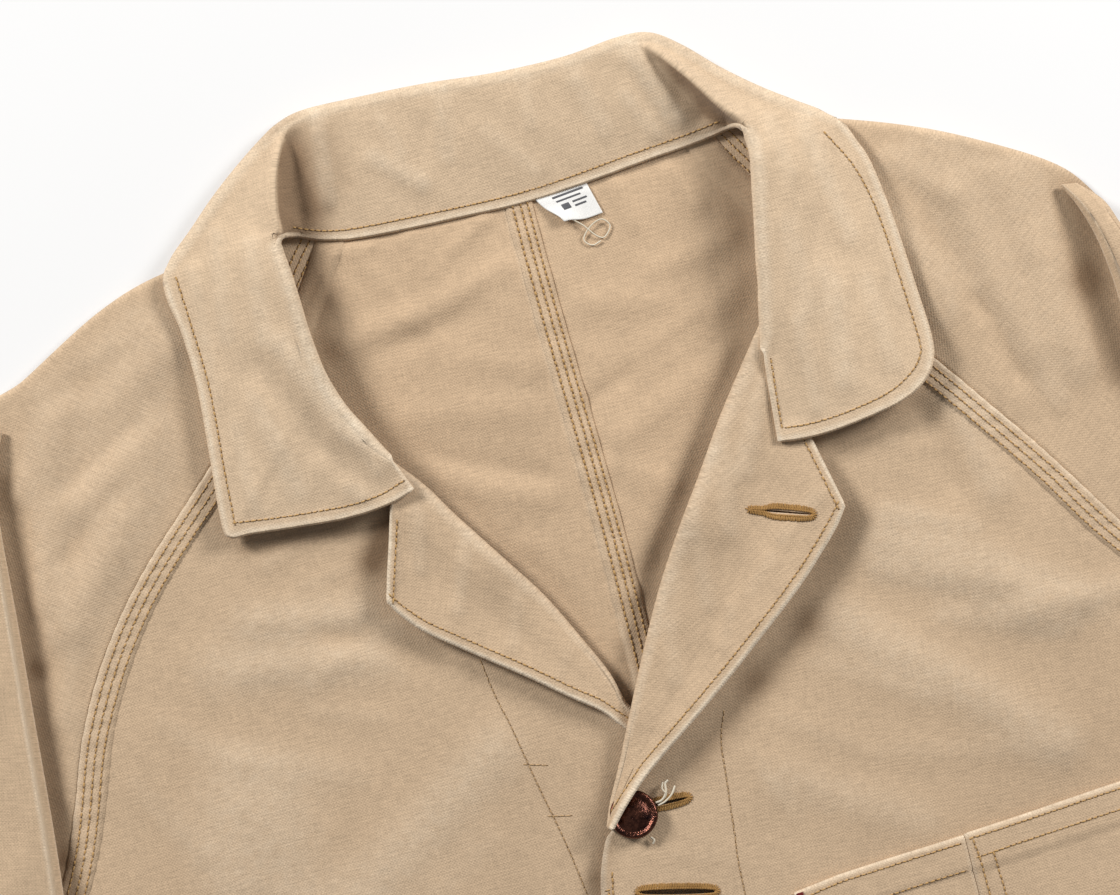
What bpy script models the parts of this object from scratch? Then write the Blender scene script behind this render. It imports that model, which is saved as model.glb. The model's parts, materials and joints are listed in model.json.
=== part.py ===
"""Chore jacket with raglan sleeves and a fold-over collar, laid flat with its front up.

All sizes are in millimetres and become metres in place(). X runs across the jacket, towards
the wearer's left side. Y runs up towards the neck, from the middle of the back neck seam.
Z is the height over the surface that the jacket lies on.
"""
import bpy
import math
import numpy as np

MM = 0.001

# ---- driving sizes ----
CLOTH = 1.4            # one layer of cloth with its nap
TWO_PLY = 2.0          # collar and lapels
PATCH = 1.2            # pockets
SEAM_GAP = 0.35        # between two pieces along a seam
LAY_GAP = 0.4          # between a piece and the one that lies on it
PATCH_GAP = 0.6        # between a pocket and its front
BAND_WIDTH = 11.0      # felled seam
BAND_RISE = 0.6        # how far a felled seam or a hem stands proud
HEM_DEPTH = 28.0
FRONT_UNDER = 3.0      # height of the fronts' under side
HEM_Y = -725.0
COLLAR_TOP_Y = 53.0
SIDE_TURN = 1.9        # inner radius where a front turns down at the side
OVERLAP_RISE = 2.5     # the upper front climbs this far to lie on the lower one
FRONT_TOP = FRONT_UNDER + CLOTH
ORIGIN_Y = (HEM_Y + COLLAR_TOP_Y) / 2
SIDES = {"left": -1, "right": 1}
ARM_FALL = 26.0        # width over which an arm comes down from the body to the table
ARM_CLEAR = 1.5        # how far the body's edge reaches beneath an arm
ARM_HEM_SHARE = 0.955  # where an arm's hem starts, as a share of its length
CUFF_STEP = 0.003      # share of an arm's length in which the hem's thickness steps up
EDGE_INSET = TWO_PLY + CLOTH / 2 + LAY_GAP + 0.4    # from a lapel's roll to the front's edge in it
MOUTH_HEM = 14.0       # hem of a pocket's mouth

# ---- rows and columns of the grids ----
RAGLAN_ROWS = 14
SIDE_ROW_YS = (-303, -340, -400, -480, -560, -640, HEM_Y + HEM_DEPTH + 0.8, HEM_Y + HEM_DEPTH, HEM_Y)
BAND_STEPS = (BAND_WIDTH + 0.6, BAND_WIDTH, 7.5, 5.0, 3.0, 1.5, 0.0)
FRONT_SHARES = (0.0, 0.04, 0.1, 0.18, 0.27, 0.37, 0.48, 0.6, 0.72, 0.85, 1.0)
CAP_SHARES = (0.0, 0.2, 0.42, 0.65, 0.85, 0.96, 1.0)
ARM_ROWS = 15
LAPEL_STEPS = 16
LAPEL_SHARES = (0.35, 0.7, 1.0)
COLLAR_STEPS = 1
COLLAR_TOP_SHARES = (0.0, 0.25, 0.5, 0.75, 1.0)
POCKET_SHARES = (0.0, 0.06, 0.3, 0.5, 0.7, 0.94, 1.0)
BUTTON_SIDES = 18

# colour, roughness, metallic
FINISHES = {
    "twill": ((0.56, 0.40, 0.24), 0.9, 0.0),
    "twill_shade": ((0.50, 0.36, 0.21), 0.9, 0.0),
    "worn_twill": ((0.62, 0.47, 0.31), 0.9, 0.0),
    "copper_button": ((0.22, 0.07, 0.04), 0.35, 1.0),
    "white_label": ((0.85, 0.84, 0.82), 0.8, 0.0),
}

# ---- outlines, one row for each place along an edge ----
# raglan seam of each front, from the neck to the underarm: x, y
RAGLAN_FRONT = {
    "right": [(90, -36), (131, -92), (162, -135), (182, -166), (230, -228), (280, -290)],
    "left": [(-99, -29), (-133, -62.5), (-175, -103), (-202, -144), (-225, -200), (-280, -290)],
}
# raglan seam of the back: x, y
RAGLAN_BACK = {
    "right": [(71, 6), (84, -14), (120, -62), (170, -128), (225, -205), (276, -284)],
    "left": [(-76, 5), (-88, -10), (-124, -60), (-172, -128), (-226, -205), (-276, -284)],
}
# shoulder fold, from the neck, over the shoulder and on beneath the arm: x, y
SHOULDER = {
    "right": [(87, 9), (115, 1.8), (150, -10.5), (187, -31), (200, -46), (220, -95),
              (246, -150), (268, -215), (284, -286)],
    "left": [(-92, 11.5), (-133, 7.3), (-160, 0), (-193, -17), (-212, -28), (-233, -75),
             (-254, -140), (-270, -215), (-284, -286)],
}
# side of the body, from the underarm to the hem: x, y
SIDE_SEAM = [(280, -291), (279, -400), (277, -560), (275, -725)]
# free inner edge of each front above and below its lapel: x, y
NECK_EDGE = {"right": [(88, -37.5), (86, -55), (79, -68)], "left": [(-97, -31), (-97, -44), (-90, -58)]}
PLACKET_EDGE = {"right": [(-20.5, -213), (-29, -235), (-34, -256), (-37, -292)],
                "left": [(-4, -200), (9, -225), (16, -250), (17, -292)]}
# lapels, from the gorge to the lower end: roll x, y, middle x, y, outer edge x, y, edge's lift
LAPEL = {
    "right": [(69, -71, 67.8, -104, 84.5, -134, 3.0), (61, -76, 62, -111, 78, -142, 2.6),
              (50, -91, 55, -124, 67, -153, 2.2), (38, -108.5, 46, -137, 55, -163.5, 1.6),
              (26, -125.5, 36, -151, 43, -172.5, 1.2), (13, -146, 23, -167, 30, -182.5, 1.0),
              (0, -170, 8, -182.5, 14, -194, 0.8), (-10, -190, -4.5, -197, -1, -204.5, 0.6),
              (-18, -206, -13, -208, -8.5, -211.5, 0.4)],
    "left": [(-64.5, -85.5, -67, -93.5, -84.5, -127, 3.0), (-60.5, -92, -69, -105, -81, -132, 2.6),
             (-54, -101, -65, -118, -74, -140, 2.2), (-46, -113, -56, -130, -64, -148, 1.6),
             (-38, -125, -46, -140.5, -53, -156.5, 1.2), (-29, -139, -35.5, -152, -41, -166, 1.0),
             (-20, -157, -24.5, -166.5, -28, -177, 0.8), (-13.5, -171, -17, -177.5, -19, -184, 0.6),
             (-11, -182, -13, -185.5, -14.5, -188.5, 0.4)],
}
# collar's upper face, from its left end round the back to its right end. At the back its outer
# edge is the roll line and its inner edge the neck seam; at the fronts its outer edge is the
# free edge and its inner edge the roll line. drop and under say how far the cloth turns down
# and runs on beneath at an edge: outer x, y, z, drop, under, inner x, y, z, drop, under
COLLAR = [
    (-66, -89.5, 8.6, 2.6, 0, -68.5, -79, 11.0, 3.6, 5),
    (-85, -94, 7.8, 2.6, 0, -75, -69, 11.6, 3.8, 8),
    (-110, -92.5, 7.6, 2.6, 0, -82, -57, 12.0, 4.0, 9),
    (-133.5, -89.5, 7.8, 2.6, 0, -85, -45, 12.2, 4.2, 10),
    (-133.5, -62, 7.2, 2.6, 0, -88, -28, 12.2, 4.4, 10),
    (-131.5, -34, 6.8, 2.6, 0, -88.8, -12, 12.0, 4.4, 9),
    (-132.5, -14, 6.8, 2.8, 0, -89.5, -4, 11.0, 4.2, 5),
    (-134.3, -2, 6.8, 3.2, 0, -89.8, 1.5, 9.4, 3.8, 2.2),
    (-134, 7, 6.5, 4.0, 1.2, -89.2, 6.5, 7.2, 3.2, 0.8),
    (-129, 13.2, 6.0, 4.8, 3, -87.8, 9.6, 5.6, 2.8, 0),
    (-120, 21, 5.6, 4.6, 7, -86, 10.2, 4.6, 2.8, 0),
    (-110, 30, 5.2, 4.2, 14, -83.5, 9.6, 3.8, 2.6, 0),
    (-99, 38.3, 4.8, 3.8, 21, -80.5, 8.4, 3.2, 2.6, 0),
    (-87, 46, 4.2, 3.2, 29, -76, 6.8, 2.8, 2.6, 0),
    (-76, 51.5, 3.9, 2.9, 36, -69, 5, 2.8, 2.6, 0),
    (-60, 52.5, 3.9, 2.9, 38, -56, 3.4, 2.8, 2.6, 0),
    (-30, 51.5, 3.9, 2.9, 38, -29, 2.4, 2.8, 2.6, 0),
    (0, 48.8, 3.9, 2.9, 36, 0, 1.6, 2.8, 2.6, 0),
    (28, 48.4, 3.9, 2.9, 35, 28, 3.6, 2.8, 2.6, 0),
    (47, 50.2, 3.9, 2.9, 34, 48, 5.8, 2.8, 2.6, 0),
    (59, 48.3, 4.0, 3.0, 31, 62, 7.0, 2.8, 2.6, 0),
    (68, 42, 4.4, 3.4, 24, 72, 8.2, 3.0, 2.6, 0),
    (80, 30.5, 4.9, 3.9, 17, 77, 9.0, 3.8, 2.6, 0),
    (92, 20.5, 5.4, 4.4, 10, 80.5, 8.0, 4.8, 2.8, 0),
    (103, 12.6, 5.8, 4.8, 5, 82.3, 6.4, 6.0, 2.8, 0),
    (111.5, 6.6, 6.2, 4.6, 2.6, 83, 3, 7.6, 3.2, 0.8),
    (117.5, 1, 6.6, 3.8, 0.9, 83.2, -1, 9.4, 3.8, 2.2),
    (121, -7, 6.8, 3.0, 0, 82.4, -6.5, 11.0, 4.2, 5),
    (124, -16, 6.8, 2.8, 0, 81, -13, 12.0, 4.4, 9),
    (127, -38, 7.0, 2.6, 0, 78.8, -26, 12.2, 4.4, 10),
    (128.8, -64, 7.2, 2.6, 0, 76, -40, 12.2, 4.2, 10),
    (129.5, -88, 7.6, 2.6, 0, 73.5, -53, 12.0, 4.0, 9),
    (119, -100.5, 7.6, 2.6, 0, 72, -60, 11.6, 3.8, 8),
    (97, -105.5, 7.8, 2.6, 0, 71, -65, 11.4, 3.8, 7),
    (71.5, -105.5, 8.4, 2.6, 0, 70.6, -69, 11.0, 3.6, 5),
]
# standing ridge where the roll line comes forward over each shoulder: x, y
COLLAR_RIDGES = [[(-82, 49), (-86, 40), (-89.5, 27), (-90, 12)], [(63, 44), (70, 31), (76, 19), (81, 6)]]
RIDGE_HEIGHT = 2.6
RIDGE_HALF = 10.0
# arms of the sleeves, from the shoulder to the hem: inner fold x, y, outer fold x, y, hollow
ARM = {
    "right": [(192.5, -43, 201, -40, 0.9), (199, -72, 213, -70, 1.2), (202, -100, 228, -99, 1.6),
              (209, -140, 250, -139, 2.2), (218, -185, 276, -183, 2.8), (226, -240, 308, -236, 3.4),
              (231, -300, 344, -288, 3.6), (238, -370, 386, -352, 3.6), (256, -450, 412, -420, 3.6),
              (276, -530, 428, -490, 3.6), (291, -596, 437, -556, 3.4), (299, -628, 440, -589, 3.2)],
    "left": [(-208, -42, -224, -38, 0.9), (-214, -68, -240, -63, 1.2), (-216, -100, -257, -97, 1.6),
             (-219, -140, -276, -135, 2.2), (-222.5, -185, -298, -180, 2.8),
             (-228, -240, -324, -233, 3.4), (-232, -300, -352, -288, 3.6),
             (-238, -370, -388, -352, 3.6), (-256, -450, -412, -420, 3.6),
             (-276, -530, -428, -490, 3.6), (-291, -596, -437, -556, 3.4),
             (-299, -628, -440, -589, 3.2)],
}
# broad soft folds of the fronts: start x, y, end x, y, half width, height
FRONT_FOLDS = [
    (140, -72, 152, -112, 9, 1.2),
    (98, -150, 150, -186, 12, 1.3),
    (70, -172, 140, -236, 10, 1.0),
    (40, -225, 84, -252, 9, 0.7),
    (-96, -128, -136, -122, 9, 1.0),
    (-88, -146, -150, -136, 12, 1.2),
    (-60, -190, -120, -230, 12, 1.0),
    (-90, -300, -130, -420, 34, 2.0),
]
PEN_POCKET = {"x": (33, 97.5), "y": (-262.5, -405)}
CHEST_POCKET = {"x": (98.2, 172), "y": (-259, -405)}
HIP_POCKET = {"x": (62, 236), "y": (-478, -672)}
BUTTON_RADIUS = 8.8
# radius and height of a button from the middle of its under side to the top of its dome
BUTTON_PROFILE = [(0.0, 0.0), (6.4, 0.0), (BUTTON_RADIUS, 1.4), (8.4, 2.8), (7.4, 3.2), (6.6, 2.9),
                  (4.0, 4.0), (0.0, 4.4)]
BUTTON_PLACES = [(-16.5, -224), (-17.5, -350), (-18, -450), (-18, -550)]
LABEL_CORNERS = [(3, 0.4), (22.5, 1.2), (26, -9), (8, -11.5)]
LABEL_THICK = 1.0
LABEL_GAP = 0.35


# ---- helpers ----
def smooth(value):
    """0 below 0, 1 above 1, and a soft climb between."""
    value = min(1.0, max(0.0, value))
    return value * value * (3 - 2 * value)


def along(rows, t):
    """Point of a smooth curve through the rows, t from 0 to 1."""
    rows = np.asarray(rows, float)
    last = len(rows) - 1
    place = min(max(t, 0.0), 1.0) * last
    i = min(int(place), last - 1)
    f = place - i
    p1 = rows[i]
    p2 = rows[i + 1]
    p0 = rows[i - 1] if i > 0 else 2 * p1 - p2
    p3 = rows[i + 2] if i + 2 <= last else 2 * p2 - p1
    tangent1 = (p2 - p0) / 2
    tangent2 = (p3 - p1) / 2
    g = f * f * (3 - 2 * f)
    return (p1 * (1 - g) + p2 * g + tangent1 * (f * (1 - f) ** 2) - tangent2 * (f * f * (1 - f)))


def polyline(rows, t):
    """Point at the share t of the straight-sided line through the rows."""
    rows = np.asarray(rows, float)
    steps = np.linalg.norm(np.diff(rows, axis=0), axis=1)
    reach = np.concatenate([[0.0], np.cumsum(steps)])
    return np.array([np.interp(t * reach[-1], reach, rows[:, k]) for k in range(rows.shape[1])])


def fold_height(x, y):
    """Height that the broad folds add to a front at x, y."""
    height = 0.0
    for x0, y0, x1, y1, half, rise in FRONT_FOLDS:
        run = np.array([x1 - x0, y1 - y0], float)
        share = np.dot([x - x0, y - y0], run) / np.dot(run, run)
        nearest = np.array([x0, y0]) + run * min(1.0, max(0.0, share))
        away = math.hypot(x - nearest[0], y - nearest[1]) / half
        height += rise * math.exp(-away * away)
    return height


def front_under(side, x, y):
    """Height of a front's under side."""
    climb = 0.0
    if side == "right":
        climb = OVERLAP_RISE * (1 - smooth((x - 6) / 84))
    return FRONT_UNDER + climb + fold_height(x, y)


def front_top(side, x, y):
    return front_under(side, x, y) + CLOTH


def body_edge(side, y):
    """Distance of the body's or cap's outer edge from the middle at the height y, beneath an arm."""
    rows = SHOULDER[side][3:] + [(x * SIDES[side], y) for x, y in SIDE_SEAM[1:]]
    ys = [-row[1] for row in rows]
    return float(np.interp(-y, ys, [abs(row[0]) for row in rows])) + ARM_CLEAR


def arm_floor(side, x, y):
    """Height of what an arm lies on: the body inside, the table outside."""
    beyond = abs(x) - body_edge(side, y)
    return (FRONT_TOP + BAND_RISE + LAY_GAP) * (1 - smooth(beyond / ARM_FALL))


def finish(name):
    if name in bpy.data.materials:
        return bpy.data.materials[name]
    colour, roughness, metallic = FINISHES[name]
    material = bpy.data.materials.new(name)
    material.use_nodes = True
    shader = material.node_tree.nodes["Principled BSDF"]
    shader.inputs["Base Color"].default_value = (*colour, 1)
    shader.inputs["Roughness"].default_value = roughness
    shader.inputs["Metallic"].default_value = metallic
    return material


def place(name, points, faces, material):
    """Mesh object from points in millimetres."""
    moved = [(x * MM, (y - ORIGIN_Y) * MM, z * MM) for x, y, z in points]
    mesh = bpy.data.meshes.new(name)
    mesh.from_pydata(moved, [], faces)
    mesh.materials.append(finish(material))
    mesh.shade_smooth()
    mesh.set_sharp_from_angle(angle=math.radians(50))
    thing = bpy.data.objects.new(name, mesh)
    bpy.context.scene.collection.objects.link(thing)
    return thing


def facing(sheet):
    """Unit normals of a grid of points: columns turned into rows."""
    down_rows = np.gradient(sheet, axis=0)
    over_columns = np.gradient(sheet, axis=1)
    normal = np.cross(down_rows, over_columns)
    return normal / np.linalg.norm(normal, axis=2, keepdims=True)


def wall(name, sheet, thick, material, below=0.0, ring=False, mirrored=False):
    """Closed wall of cloth on a grid of points.

    The grid's rows run down the jacket and its columns towards +X, or towards -X if mirrored.
    thick is one number or a grid of them. below is how much of it lies under the points.
    With ring, the last column joins the first, as on a tube.
    """
    sheet = np.asarray(sheet, float)
    thick = np.broadcast_to(np.asarray(thick, float), sheet.shape[:2])[..., None]
    if mirrored:
        sheet = sheet[:, ::-1]
        thick = thick[:, ::-1]
    if ring:
        wrapped = np.concatenate([sheet[:, -1:], sheet, sheet[:, :1]], axis=1)
        normal = facing(wrapped)[:, 1:-1]
    else:
        normal = facing(sheet)
    under = sheet - normal * thick * below
    over = sheet + normal * thick * (1 - below)
    rows, columns = sheet.shape[:2]
    points = np.concatenate([under.reshape(-1, 3), over.reshape(-1, 3)])
    shift = rows * columns
    faces = []
    span = columns if ring else columns - 1
    for i in range(rows - 1):
        for j in range(span):
            k = (j + 1) % columns
            a, b, c, d = i * columns + j, i * columns + k, (i + 1) * columns + k, (i + 1) * columns + j
            faces.append((a, b, c, d))
            faces.append((d + shift, c + shift, b + shift, a + shift))
    for j in range(span):
        k = (j + 1) % columns
        faces.append((j, j + shift, k + shift, k))
        low = (rows - 1) * columns
        faces.append((low + k, low + k + shift, low + j + shift, low + j))
    if not ring:
        for i in range(rows - 1):
            a, b = i * columns, (i + 1) * columns
            faces.append((b, b + shift, a + shift, a))
            a, b = a + columns - 1, b + columns - 1
            faces.append((a, a + shift, b + shift, b))
    return place(name, points, turned_out(points, faces), material)


def turned_out(points, faces):
    """The faces, all turned over if their volume comes out negative."""
    volume = 0.0
    for face in faces:
        first = points[face[0]]
        for second, third in zip(face[1:-1], face[2:]):
            volume += np.dot(first, np.cross(points[second], points[third]))
    return faces if volume > 0 else [tuple(reversed(face)) for face in faces]


# ---- back ----


def centre_back(y):
    """X of the centre back seam, which drifts a little down the back."""
    return 1.7 + 3.3 * smooth(-y / 140)


def side_rows(side, inset):
    """Places down the side seam from under the arm to the hem, with two rows at the hem's edge."""
    seam_ys = [-y for _, y in SIDE_SEAM]
    seam_xs = [x - inset for x, _ in SIDE_SEAM]
    return [(SIDES[side] * float(np.interp(-y, seam_ys, seam_xs)), y) for y in SIDE_ROW_YS]


def raglan_rows(rows):
    return [tuple(polyline(rows, k / RAGLAN_ROWS)) for k in range(RAGLAN_ROWS + 1)]


def back(side):
    """One half of the back, flat on the table, with the felled seam's band on the left half."""
    sign = SIDES[side]
    outer = raglan_rows(RAGLAN_BACK[side]) + side_rows(side, CLOTH + SEAM_GAP)
    sheet, thick = [], []
    for number, (x1, y1) in enumerate(outer):
        y0 = 1.5 + (y1 - 5.5) * min(1.0, 0.4 + 0.3 * number) if number <= RAGLAN_ROWS else y1
        x0 = centre_back(y0) + (SEAM_GAP if side == "right" else 0.0)
        span = abs(x1 - x0)
        band = BAND_WIDTH - 1.3
        steps = [0.0, band - 0.6, band]
        steps += [band + (span - band - 13) * f for f in (0.25, 0.5, 0.75, 1.0)]
        steps += [span - BAND_WIDTH - 0.6, span - BAND_WIDTH, span]
        raglan = number <= RAGLAN_ROWS
        hem = y1 <= HEM_Y + HEM_DEPTH
        row, row_thick = [], []
        for k, d in enumerate(steps):
            f = d / span
            bow = 6.0 * f * (1 - f) if number == 0 else 0.0
            row.append((x0 + sign * d, y0 + (y1 - y0) * f - bow, 0.0))
            raised = hem or (k < 2 and side == "left") or (k > len(steps) - 3 and raglan)
            row_thick.append(CLOTH + (BAND_RISE if raised else 0.0))
        sheet.append(row)
        thick.append(row_thick)
    return wall(f"back_{side}", sheet, thick, "twill_shade", mirrored=side == "left")


# ---- fronts ----


def free_edge(side):
    """Inner edge of a front: its neck edge, the edge inside the lapel's roll, its placket edge."""
    rolled = []
    for xr, yr, xm, ym, *_ in LAPEL[side][1:]:
        share = EDGE_INSET / math.hypot(xm - xr, ym - yr)
        rolled.append((xr + (xm - xr) * share, yr + (ym - yr) * share))
    return NECK_EDGE[side] + rolled + PLACKET_EDGE[side]


def front(side):
    """One front, from its free edge to the raglan seam, and at the side down to the table."""
    outer = raglan_rows(RAGLAN_FRONT[side]) + side_rows(side, 0.0)
    edge = free_edge(side)
    sheet, thick = [], []
    for number, (x1, y1) in enumerate(outer):
        raglan = number <= RAGLAN_ROWS
        hem = y1 <= HEM_Y + HEM_DEPTH
        x0, y0 = edge[number] if raglan else (edge[-1][0], y1)
        reach = np.array([x1 - x0, y1 - y0])
        span = np.linalg.norm(reach)
        bands = [step * min(1.0, span / 30) for step in BAND_STEPS]
        drops = [0.0] * len(bands)
        if not raglan:
            turn = [math.radians(angle) for angle in (0, 30, 60, 90)]
            bands[2:6] = [CLOTH + SIDE_TURN * (1 - math.sin(a)) for a in turn]
            drops[2:6] = [SIDE_TURN * (1 - math.cos(a)) for a in turn]
            bands[6] = CLOTH
        steps = [(span - bands[0] - 0.8) * share for share in FRONT_SHARES]
        row, row_thick = [], []
        for d, drop in zip(steps + [span - band for band in bands], [0.0] * len(steps) + drops):
            x, y = x0 + reach[0] * d / span, y0 + reach[1] * d / span
            row.append((x, y, front_under(side, x, y) - drop))
            on_band = d > span - BAND_WIDTH - 0.1
            row_thick.append(CLOTH + (BAND_RISE if (hem and not on_band) or (raglan and on_band) else 0.0))
        if not raglan:
            row[-1] = (row[-1][0], row[-1][1], 0.0)
        sheet.append(row)
        thick.append(row_thick)
    return wall(f"front_{side}", sheet, thick, "twill", mirrored=side == "left")


# ---- raglan sleeves ----
def hairpin(start, fold, end, z_start, z_end, radius, shares):
    """Inner points of cloth that runs from start, turns over at the fold and comes back to end."""
    start, fold, end = (np.array(p, float) for p in (start, fold, end))
    inset = CLOTH + radius
    into = (start - fold) / np.linalg.norm(start - fold)
    out = (end - fold) / np.linalg.norm(end - fold)
    first, last = fold + into * inset, fold + out * inset
    points = [(*(start + (first - start) * f), z_start) for f in shares]
    middle = (first + last) / 2
    for angle in (30, 60, 90, 120, 150):
        a = math.radians(angle)
        mix = first * (1 + math.cos(a)) / 2 + last * (1 - math.cos(a)) / 2
        bulge = (fold - middle) * (radius / inset) * math.sin(a)
        height = (z_start + z_end) / 2 + (z_start - z_end) / 2 * math.cos(a)
        points.append((*(mix + bulge), height))
    points += [(*(end + (last - end) * f), z_end) for f in reversed(shares)]
    return points


def cap(side):
    """Shoulder part of a sleeve, folded over at the shoulder; its outer part lies under the arm."""
    sign = SIDES[side]
    fronts = raglan_rows(RAGLAN_FRONT[side])
    backs = raglan_rows(RAGLAN_BACK[side])
    sheet = []
    for k in range(RAGLAN_ROWS + 1):
        t = k / RAGLAN_ROWS
        fold = polyline(SHOULDER[side], t)
        start = np.array(fronts[k]) + (fold - fronts[k]) / np.linalg.norm(fold - fronts[k]) * SEAM_GAP
        end = np.array(backs[k]) + (fold - backs[k]) / np.linalg.norm(fold - backs[k]) * SEAM_GAP
        start[0] += sign * SEAM_GAP * 0.4
        row = hairpin(start, fold, end, FRONT_UNDER, CLOTH, (FRONT_UNDER - CLOTH) / 2, CAP_SHARES)
        half = len(CAP_SHARES)
        rise = [fold_height(x, y) for x, y, _ in row[:half]]
        row[:half] = [(x, y, z + r) for (x, y, z), r in zip(row[:half], rise)]
        sheet.append(row)
    return wall(f"sleeve_cap_{side}", sheet, CLOTH, "twill", mirrored=side == "left")


def arm_shares(side, inner, outer):
    """Shares of an arm's width for its columns, close together where it comes down to the table."""
    edge = body_edge(side, (inner[1] + outer[1]) / 2)
    low, high = abs(inner[0]), abs(outer[0])
    start = min(0.6, max(0.06, (edge - low) / (high - low)))
    stop = min(0.93, max(start + 0.15, (edge + ARM_FALL - low) / (high - low)))
    fall = [start + (stop - start) * f for f in (0.0, 0.25, 0.5, 0.75, 1.0)]
    return [0.0, start / 2] + fall + [1.0]


def arm(side):
    """Arm of a sleeve: a flattened tube from the pleat at the shoulder to the hem."""
    places = [k / (ARM_ROWS - 1) * ARM_HEM_SHARE for k in range(ARM_ROWS)]
    places += [ARM_HEM_SHARE + CUFF_STEP, 1.0]
    sheet, thick = [], []
    for number, t in enumerate(places):
        xi, yi, xo, yo, hollow = along(ARM[side], t)
        inner, outer = np.array([xi, yi]), np.array([xo, yo])
        axis = (outer - inner) / np.linalg.norm(outer - inner)
        radius = hollow / 2
        first, last = inner + axis * (CLOTH + radius), outer - axis * (CLOTH + radius)
        flat = [first + (last - first) * f for f in arm_shares(side, first, last)]
        row = [(x, y, arm_floor(side, x, y) + CLOTH + hollow) for x, y in flat]
        for angle in (45, 90, 135):
            a = math.radians(angle)
            x, y = last + axis * radius * math.sin(a)
            row.append((x, y, arm_floor(side, *last) + CLOTH + radius * (1 + math.cos(a))))
        row += [(x, y, arm_floor(side, x, y) + CLOTH) for x, y in reversed(flat)]
        for angle in (135, 90, 45):
            a = math.radians(angle)
            x, y = first - axis * radius * math.sin(a)
            row.append((x, y, arm_floor(side, *first) + CLOTH + radius * (1 + math.cos(a))))
        sheet.append(row)
        upper = len(flat)
        raised = BAND_RISE if number >= ARM_ROWS else 0.0
        thick.append([CLOTH + raised] * upper + [CLOTH] * (len(row) - upper))
    return wall(f"sleeve_arm_{side}", sheet, thick, "twill", ring=True, mirrored=side == "left")


# ---- lapels ----


def lapel(side):
    """A turned-back lapel: it wraps round the front's edge at the roll and lies on the front."""
    radius = CLOTH / 2 + LAY_GAP
    sheet = []
    for k in range(LAPEL_STEPS + 1):
        xr, yr, xm, ym, xe, ye, lift = along(LAPEL[side], k / LAPEL_STEPS)
        roll, middle, edge = np.array([xr, yr]), np.array([xm, ym]), np.array([xe, ye])
        axis = (middle - roll) / np.linalg.norm(middle - roll)
        centre = roll + axis * (radius + TWO_PLY)
        level = front_under(side, *centre) + CLOTH / 2
        row = []
        for angle in (-25, 10, 45, 90):
            a = math.radians(angle)
            x, y = centre - axis * radius * math.cos(a)
            row.append((x, y, level + radius * math.sin(a)))
        for f in LAPEL_SHARES:
            x, y = centre + (middle - centre) * f
            row.append((x, y, front_top(side, x, y) + PATCH_GAP + lift * 0.4 * f))
        for f in LAPEL_SHARES:
            x, y = middle + (edge - middle) * f
            row.append((x, y, front_top(side, x, y) + PATCH_GAP + lift * (0.4 + 0.6 * smooth(f))))
        sheet.append(row)
    return wall(f"lapel_{side}", sheet, TWO_PLY, "twill", mirrored=side == "left")


# ---- collar ----


def away_from_line(rows, x, y):
    """Distance of x, y from a line of straight stretches."""
    best = 1e9
    for (x0, y0), (x1, y1) in zip(rows[:-1], rows[1:]):
        run = np.array([x1 - x0, y1 - y0], float)
        share = min(1.0, max(0.0, np.dot([x - x0, y - y0], run) / np.dot(run, run)))
        best = min(best, math.hypot(x - x0 - run[0] * share, y - y0 - run[1] * share))
    return best


def turned_edge(edge, square, inward, z, drop, under):
    """Points from just inside an edge, over it, down and back beneath the cloth.

    square points inwards at right angles to the edge, and inward along the section. Where
    nothing runs on beneath, the cloth just ends at the edge.
    """
    radius = drop / 2
    full = smooth(under / 3)
    points = []
    for number in (1, 2, 3, 4):
        angle = math.pi * min(number, 3) / 3
        flat = edge + square * radius * (1 - number / 4)
        turned = edge + square * radius * (1 - math.sin(angle))
        if number == 4:
            turned = turned + inward * under
        x, y = flat * (1 - full) + turned * full
        points.append((x, y, z - full * radius * (1 - math.cos(angle))))
    return points


def edge_squares(rows, across):
    """For each point of an edge, the unit vector at right angles to it on the side of across."""
    run = np.gradient(rows, axis=0)
    square = np.stack([-run[:, 1], run[:, 0]], axis=1)
    square /= np.linalg.norm(square, axis=1, keepdims=True)
    return square * np.sign(np.sum(square * across, axis=1, keepdims=True))


def collar():
    """One band of two-ply cloth: the upper face, with both edges turned down."""
    count = (len(COLLAR) - 1) * COLLAR_STEPS
    rows = np.array([along(COLLAR, k / count) for k in range(count + 1)])
    outer, inner = rows[:, 0:2], rows[:, 5:7]
    across = (inner - outer) / np.linalg.norm(inner - outer, axis=1, keepdims=True)
    outer_square = edge_squares(outer, across)
    inner_square = edge_squares(inner, -across)
    sheet = []
    for k, (_, _, zo, drop_o, under_o, _, _, zi, drop_i, under_i) in enumerate(rows):
        start = outer[k] + outer_square[k] * drop_o / 2
        stop = inner[k] + inner_square[k] * drop_i / 2
        row = list(reversed(turned_edge(outer[k], outer_square[k], across[k], zo, drop_o, under_o)))
        for f in COLLAR_TOP_SHARES:
            x, y = start + (stop - start) * f
            ridge = sum(math.exp(-(away_from_line(line, x, y) / RIDGE_HALF) ** 2) for line in COLLAR_RIDGES)
            fade = smooth(f * 5) * smooth((1 - f) * 5)
            row.append((x, y, zo + (zi - zo) * f ** 1.8 + RIDGE_HEIGHT * ridge * fade))
        row += turned_edge(inner[k], inner_square[k], -across[k], zi, drop_i, under_i)
        sheet.append(row)
    return wall("collar", sheet, TWO_PLY, "worn_twill", below=0.5)


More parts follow.
